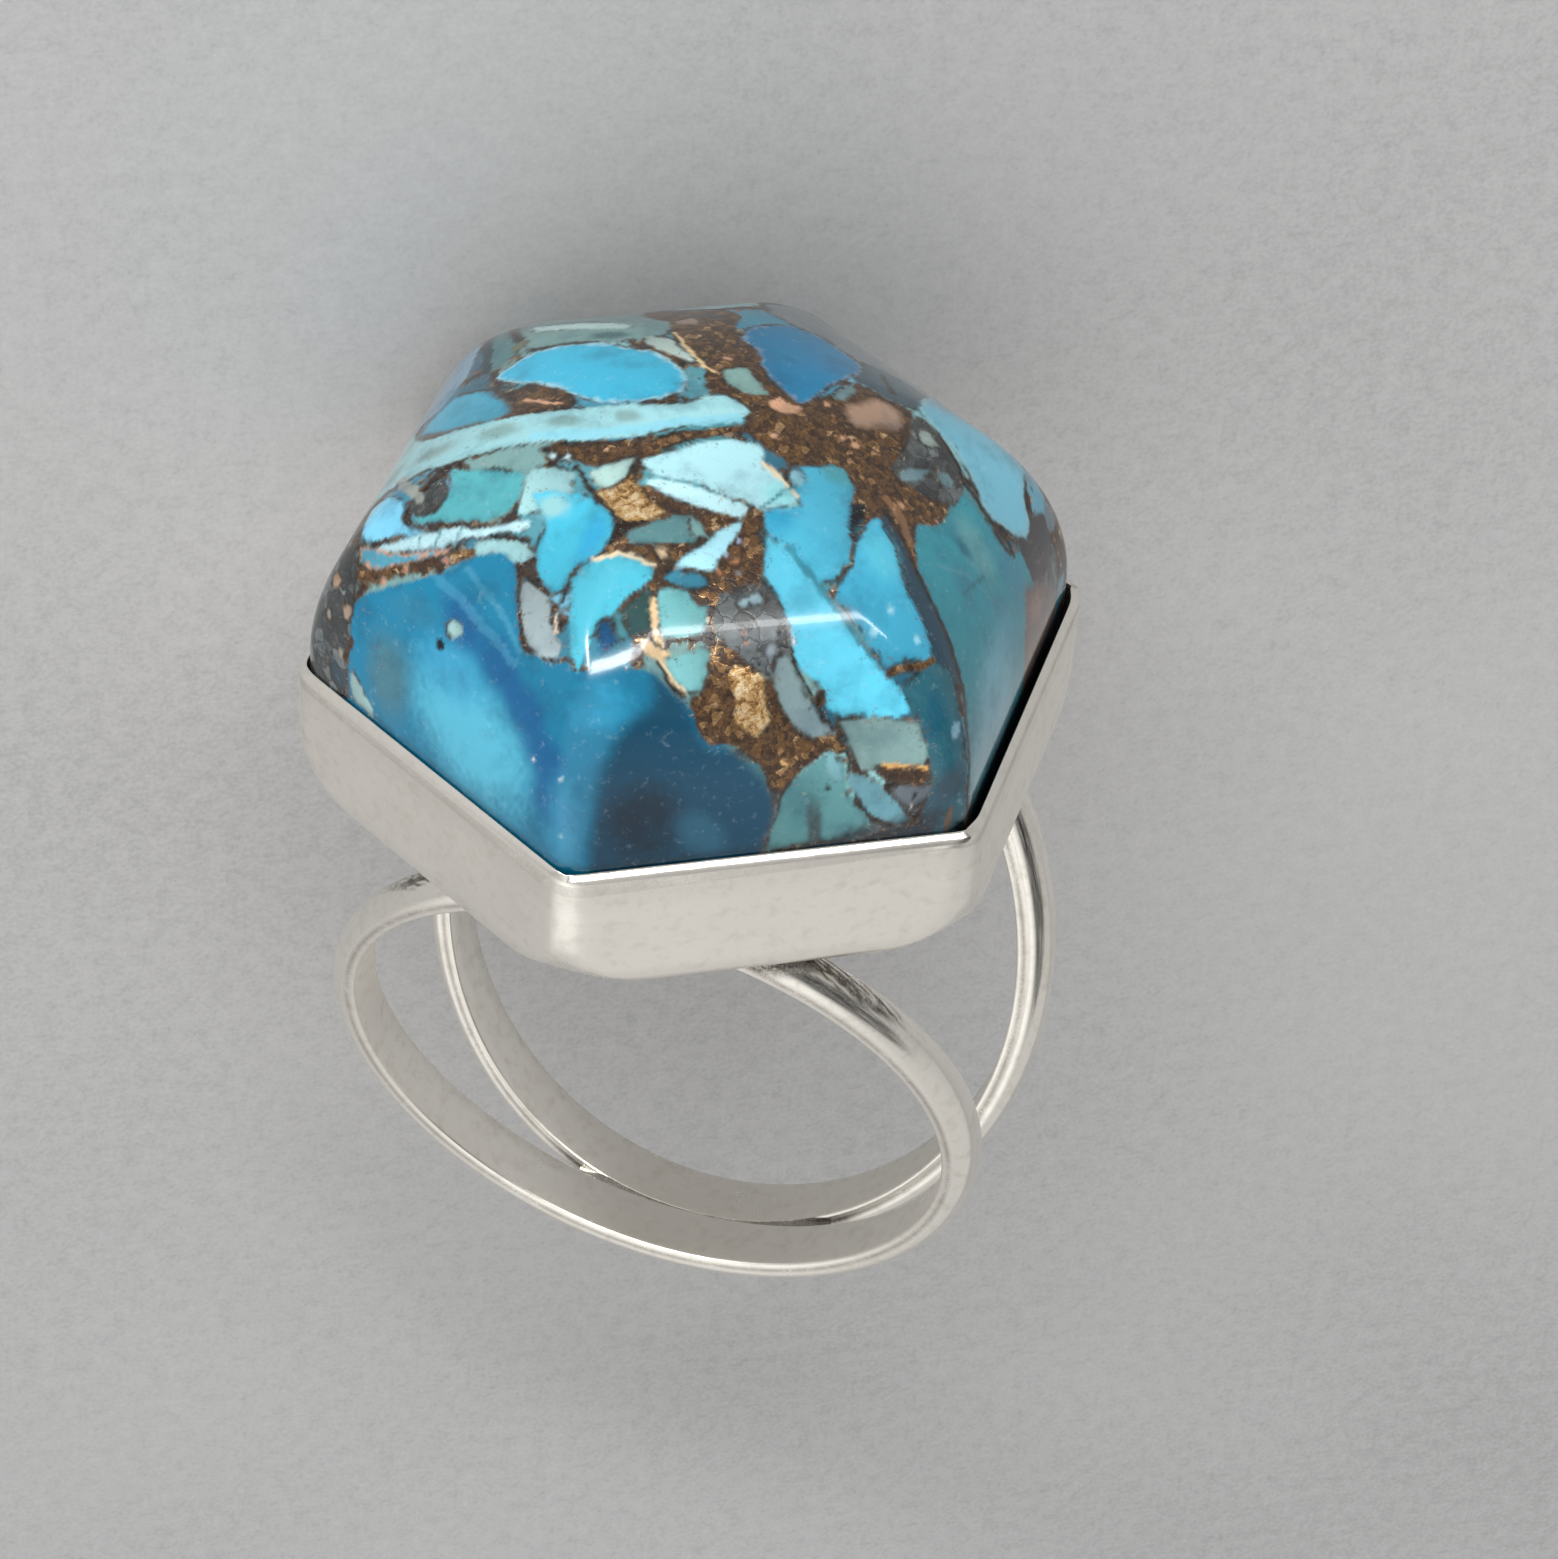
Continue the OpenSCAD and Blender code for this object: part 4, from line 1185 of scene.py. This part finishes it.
# rubble and bronze towards the front right flat
shard([(2.6, -6.4), (3.5, -5.7), (4, -5.6), (4.4, -6), (4.9, -6.6), (5.1, -7), (5.3, -7.4), (5, -7.9),
       (4.4, -7.9), (3.9, -8.1), (3.6, -7.9), (3.2, -7.6), (2.9, -7.5), (2.65, -7.1)], (95, 105, 110),
      matrix="rubble")
shard([(3.1, -6.4), (3.7, -5.8), (4, -6), (3.4, -6.55)], (140, 170, 180))
for spot, size, colour in (((4.6, -7.2), 0.24, (150, 165, 175)), ((3.6, -6.3), 0.1, (30, 34, 36)),
                           ((4.6, -6.7), 0.1, (30, 34, 36)), ((4.4, -7.7), 0.1, (30, 34, 36)),
                           ((3.6, -7.1), 0.1, cream), ((3.8, -7.3), 0.1, cream)):
    dot(spot, size, colour)
shard([(2.9, -7.8), (3.6, -7.7), (4.2, -7.9), (5, -8.1), (5.6, -8.6), (6.2, -8.95), (6.9, -8.9),
       (7.5, -8.4), (8.2, -8.55), (7.9, -8.8), (7.5, -8.9), (7.2, -9.5), (6.9, -10.1), (6.7, -10.7),
       (6.2, -10.75), (5.9, -10.4), (5.3, -10.2), (4.8, -10.1), (4.2, -10.2), (3.7, -10.4), (3.2, -10.1),
       (2.8, -9.6), (3, -9.3), (3.15, -8.8)], (95, 60, 42), matrix="bronze")
shard([(5, -7.1), (5.6, -7.5), (6.4, -8), (7.2, -8.3), (7.6, -8.4), (7.2, -8.6), (6.8, -8.9), (6.3, -8.85),
       (5.9, -8.7), (5.4, -8.4), (5, -8), (4.8, -7.4)], (130, 155, 160), line=0.12)
shard([(3.8, -8.1), (4.2, -7.95), (4.7, -8), (4.9, -8.4), (5.1, -8.8), (5.35, -9), (5.3, -9.3), (5.1, -9.6),
       (4.8, -9.6), (4.4, -9.5), (4.2, -9.1), (4.1, -8.8), (3.8, -8.6), (3.7, -8.4)], (220, 180, 105),
      matrix="gold", line=0.12)
streak([(6.2, -9.9), (6.5, -9.9)], 0.1, (215, 180, 120))

# The front right flat, down to the rim
shard([(14.5, -8.3), (13, -9.7), (12, -10.4), (10.9, -11), (9.5, -11.8), (7.2, -13.6), (9, -11.3),
       (10.5, -10.7), (11.2, -10.1), (12.3, -9.4), (12.8, -8.8), (15.8, -8.6), (12, -12.5)], (75, 80, 88))
shard([(9.4, -5.1), (10.2, -5), (11.3, -5.8), (12.5, -6.8), (13.2, -7.4), (15, -8.2), (14.4, -9.2),
       (12.2, -9), (12, -8.2), (11.3, -7.7), (10.4, -7.1), (9.6, -6.8), (8.8, -6.4)], (60, 105, 120))
dot((11.4, -6.3), 0.25, (130, 175, 195), line=0)
glow((12.6, -7.7), (0.8, 0.7), (50, 75, 88), 0.9)
shard([(7.3, -8), (8.3, -7.6), (9.1, -7.2), (9.9, -6.9), (10.9, -7.4), (11.2, -7.8), (10.6, -8),
       (10.1, -8.3), (9.6, -8.5), (9, -8.9), (8.3, -8.6)], (130, 165, 165))
streak([(8.3, -6.2), (8.8, -5.8), (9.35, -5.1)], 0.22, matrix="bronze")
shard([(9, -9.6), (10.5, -9.95), (11.1, -10), (10.8, -10.4), (10, -10.9), (9.2, -11.4), (8.3, -12),
       (7.3, -12.8), (7.1, -12), (7, -11.3), (6.7, -10.8), (6.9, -10.2), (7.3, -9.4), (7.6, -8.9),
       (8.2, -8.9), (8.7, -9.4)], (95, 150, 155))
shard([(8.6, -9.1), (9.5, -8.9), (10.5, -9), (11.5, -9.1), (12.2, -9.2), (11.8, -9.6), (11, -9.8),
       (10, -9.85), (9.2, -9.5), (8.8, -9.4)], (110, 165, 180))
streak([(9.5, -9.8), (10.5, -9.9), (11.5, -9.75)], 0.1)
shard([(10.6, -8.6), (11.4, -8.3), (11.9, -8.1), (12.1, -8.5), (11.8, -8.9), (11.2, -9), (10.6, -8.9)],
      (105, 115, 125))
dot((11.5, -8.6), 0.12, (18, 20, 22))
dot((11.7, -8.9), 0.1, (220, 225, 225))
shard([(9.5, -8.5), (9.9, -8.3), (10.3, -8.2), (10.8, -8), (11.3, -7.8), (11.6, -7.95), (11.5, -8.3),
       (11, -8.45), (10.5, -8.6), (10, -8.75), (9.6, -8.65)], (150, 100, 60), matrix="bronze")
streak([(9.6, -8.4), (10.3, -8.15), (11.3, -7.78)], 0.09, (225, 180, 110))
shard([(7.5, -9.1), (7.8, -8.85), (8.2, -9.1), (8.5, -9.4), (8.2, -9.6), (7.8, -9.5)], (120, 175, 185))
for spot in ((8.2, -9.9), (10.1, -10.7)):
    dot(spot, 0.13, (30, 40, 42))
# a slaty patch beside the long shard, and the dark margin down to the right corner
glow((10.4, -6.5), (0.9, 0.6), (52, 98, 120), 0.8, -60)
dot((11.5, -6.5), 0.14, (150, 190, 205), line=0)
glow((7.6, -10.6), (1.3, 0.9), (72, 122, 130), 0.7, -30)
glow((8.7, -11.2), (1.4, 0.4), (66, 70, 76), 0.85, -42)
glow((10.9, -10.3), (1.8, 0.5), (62, 62, 68), 0.9, 30)
glow((12.6, -9.1), (1.6, 0.8), (58, 62, 70), 0.9, 35)
glow((12.4, -7.9), (0.6, 1.0), (70, 84, 96), 0.7)
streak([(13.3, -8.3), (13.9, -8.9)], 0.2, (120, 88, 66), share=0.8)
specks((12, -9.6), (2.4, 1), 0.8, 30)
specks((7.4, -10.3), (1.4, 0.9), 0.6)

# painted shade round the foot of the block
sunken = {
    "from": 0.45,                # heights between which the block starts to darken
    "to": 0.85,
    "shade": 0.45,
    "openFlat": (9.1, 9.6),      # along the open flat it darkens higher up, and more
    "openHigher": 0.25,
    "openShade": 0.5,
}


def paintStone(piece):
    # painted shade: the block is darkened where it goes down into the cup, most of all along the open flat
    x, _, z = places(piece).T
    openSide = smoothStep(*sunken["openFlat"], x)
    top = sunken["to"] + sunken["openHigher"] * openSide
    sunk = 1 - smoothStep(sunken["from"], top, z + 0.12 * chart.fray)
    shade = 1 - sunk * (sunken["shade"] + sunken["openShade"] * openSide)
    pointColours(piece, "tint", chart.tint * shade[:, None])
    for name, mask in chart.masks.items():
        pointNumbers(piece, name, mask)


paintStone(stonePiece)
finishPiece(stonePiece, "stone", turquoiseBlock, 35)
print("stone painted")

# Floor, camera and light
bpy.ops.object.select_all(action="DESELECT")
bpy.ops.mesh.primitive_plane_add(size=floor["size"], location=(0, 0, 0))
floorPlane = bpy.context.object
floorPlane.name = "floor"
floorPlane.data.materials.append(paleFloor)

camera = {
    "place": (29.063, -109.291, 126.673),
    "right": (-0.97444, -0.05238, 0.21844),
    "down": (0.10796, 0.74353, 0.65993),
    "forward": (-0.19698, 0.66665, -0.71887),
    "lens": 124.77,
    "sensor": 36,
}


def standing(right, up, back, place):
    # the matrix of a camera or a light that stands at a place
    return Matrix.Translation(place) @ Matrix((right, up, back)).transposed().to_4x4()


bpy.ops.object.camera_add()
viewer = bpy.context.object
right, down, forward = (Vector(camera[key]) for key in ("right", "down", "forward"))
viewer.matrix_world = standing(right, -down, -forward, Vector(camera["place"]) * mm)
viewer.data.sensor_fit = "HORIZONTAL"
viewer.data.sensor_width = camera["sensor"]
viewer.data.lens = camera["lens"]
viewer.data.clip_start = mm
bpy.context.scene.camera = viewer
bpy.context.scene.view_settings.view_transform = "Standard"

# each light: the way to it from the ring, the way along which it runs, its width and height in
# millimetres, and how bright it looks
lights = {
    "window": {"way": (0.27, -0.86, 0.43), "along": (-0.78, -0.04, 0.30), "size": (350, 36), "bright": 24},
    "pane": {"way": (-0.24, -0.82, 0.52), "along": (-0.78, -0.04, 0.30), "size": (120, 13), "bright": 18},
    "sill": {"way": (0.66, -0.75, 0.12), "along": (0.05, 0.02, -1), "size": (105, 10), "bright": 50},
}
lightsAway = 400
ringMiddle = Vector((0, 0, 10)) * mm
for name, light in lights.items():
    toLight = Vector(light["way"]).normalized()
    upwards = toLight.cross(Vector(light["along"])).normalized()
    bpy.ops.object.light_add(type="AREA", location=(0, 0, 0))
    lamp = bpy.context.object
    lamp.name = name + "Light"
    lamp.matrix_world = standing(upwards.cross(toLight), upwards, toLight,
                                 ringMiddle + toLight * lightsAway * mm)
    lamp.data.shape = "RECTANGLE"
    lamp.data.size, lamp.data.size_y = (side * mm for side in light["size"])
    lamp.data.energy = light["bright"] * math.pi * lamp.data.size * lamp.data.size_y

# the room: soft light all round, more from behind and most from the upper left, and one dim gap on the
# right that the polished crowns mirror
room = {
    "colour": (1.0, 0.995, 0.985),
    "bright": 0.45,
    "behind": (-0.1, 0.8, 0.5),
    "more": 0.13,
    "sky": (0.62, 0.05, 0.78),
    "skyBright": 0.62,
    "gap": (-0.60, -0.22, 0.76),
    "gapDark": 0.44,
}
world = bpy.context.scene.world or bpy.data.worlds.new("room")
bpy.context.scene.world = world
air = Finish(world, "Background")
heading = air.node("ShaderNodeTexCoord", {}, {}, "Generated")


def towards(way, low, high):
    # from 0 to 1 as the room is looked at nearer to this way
    nearness = air.vectors("DOT_PRODUCT", {0: heading, 1: tuple(Vector(way).normalized())}, "Value")
    return air.between(nearness, low, high)


streaks = air.between(air.grain(air.stretched(heading, (3, 9, 22)), 1.0, 2), 0.34, 0.52)
brightness = room["bright"] + towards(room["behind"], 0.0, 0.85) * room["more"]
brightness = brightness + towards(room["sky"], 0.45, 0.97) * room["skyBright"]
brightness = brightness - towards(room["gap"], 0.83, 0.94) * streaks * room["gapDark"]
air.set(Color=room["colour"], Strength=brightness)
print("camera and lights set")
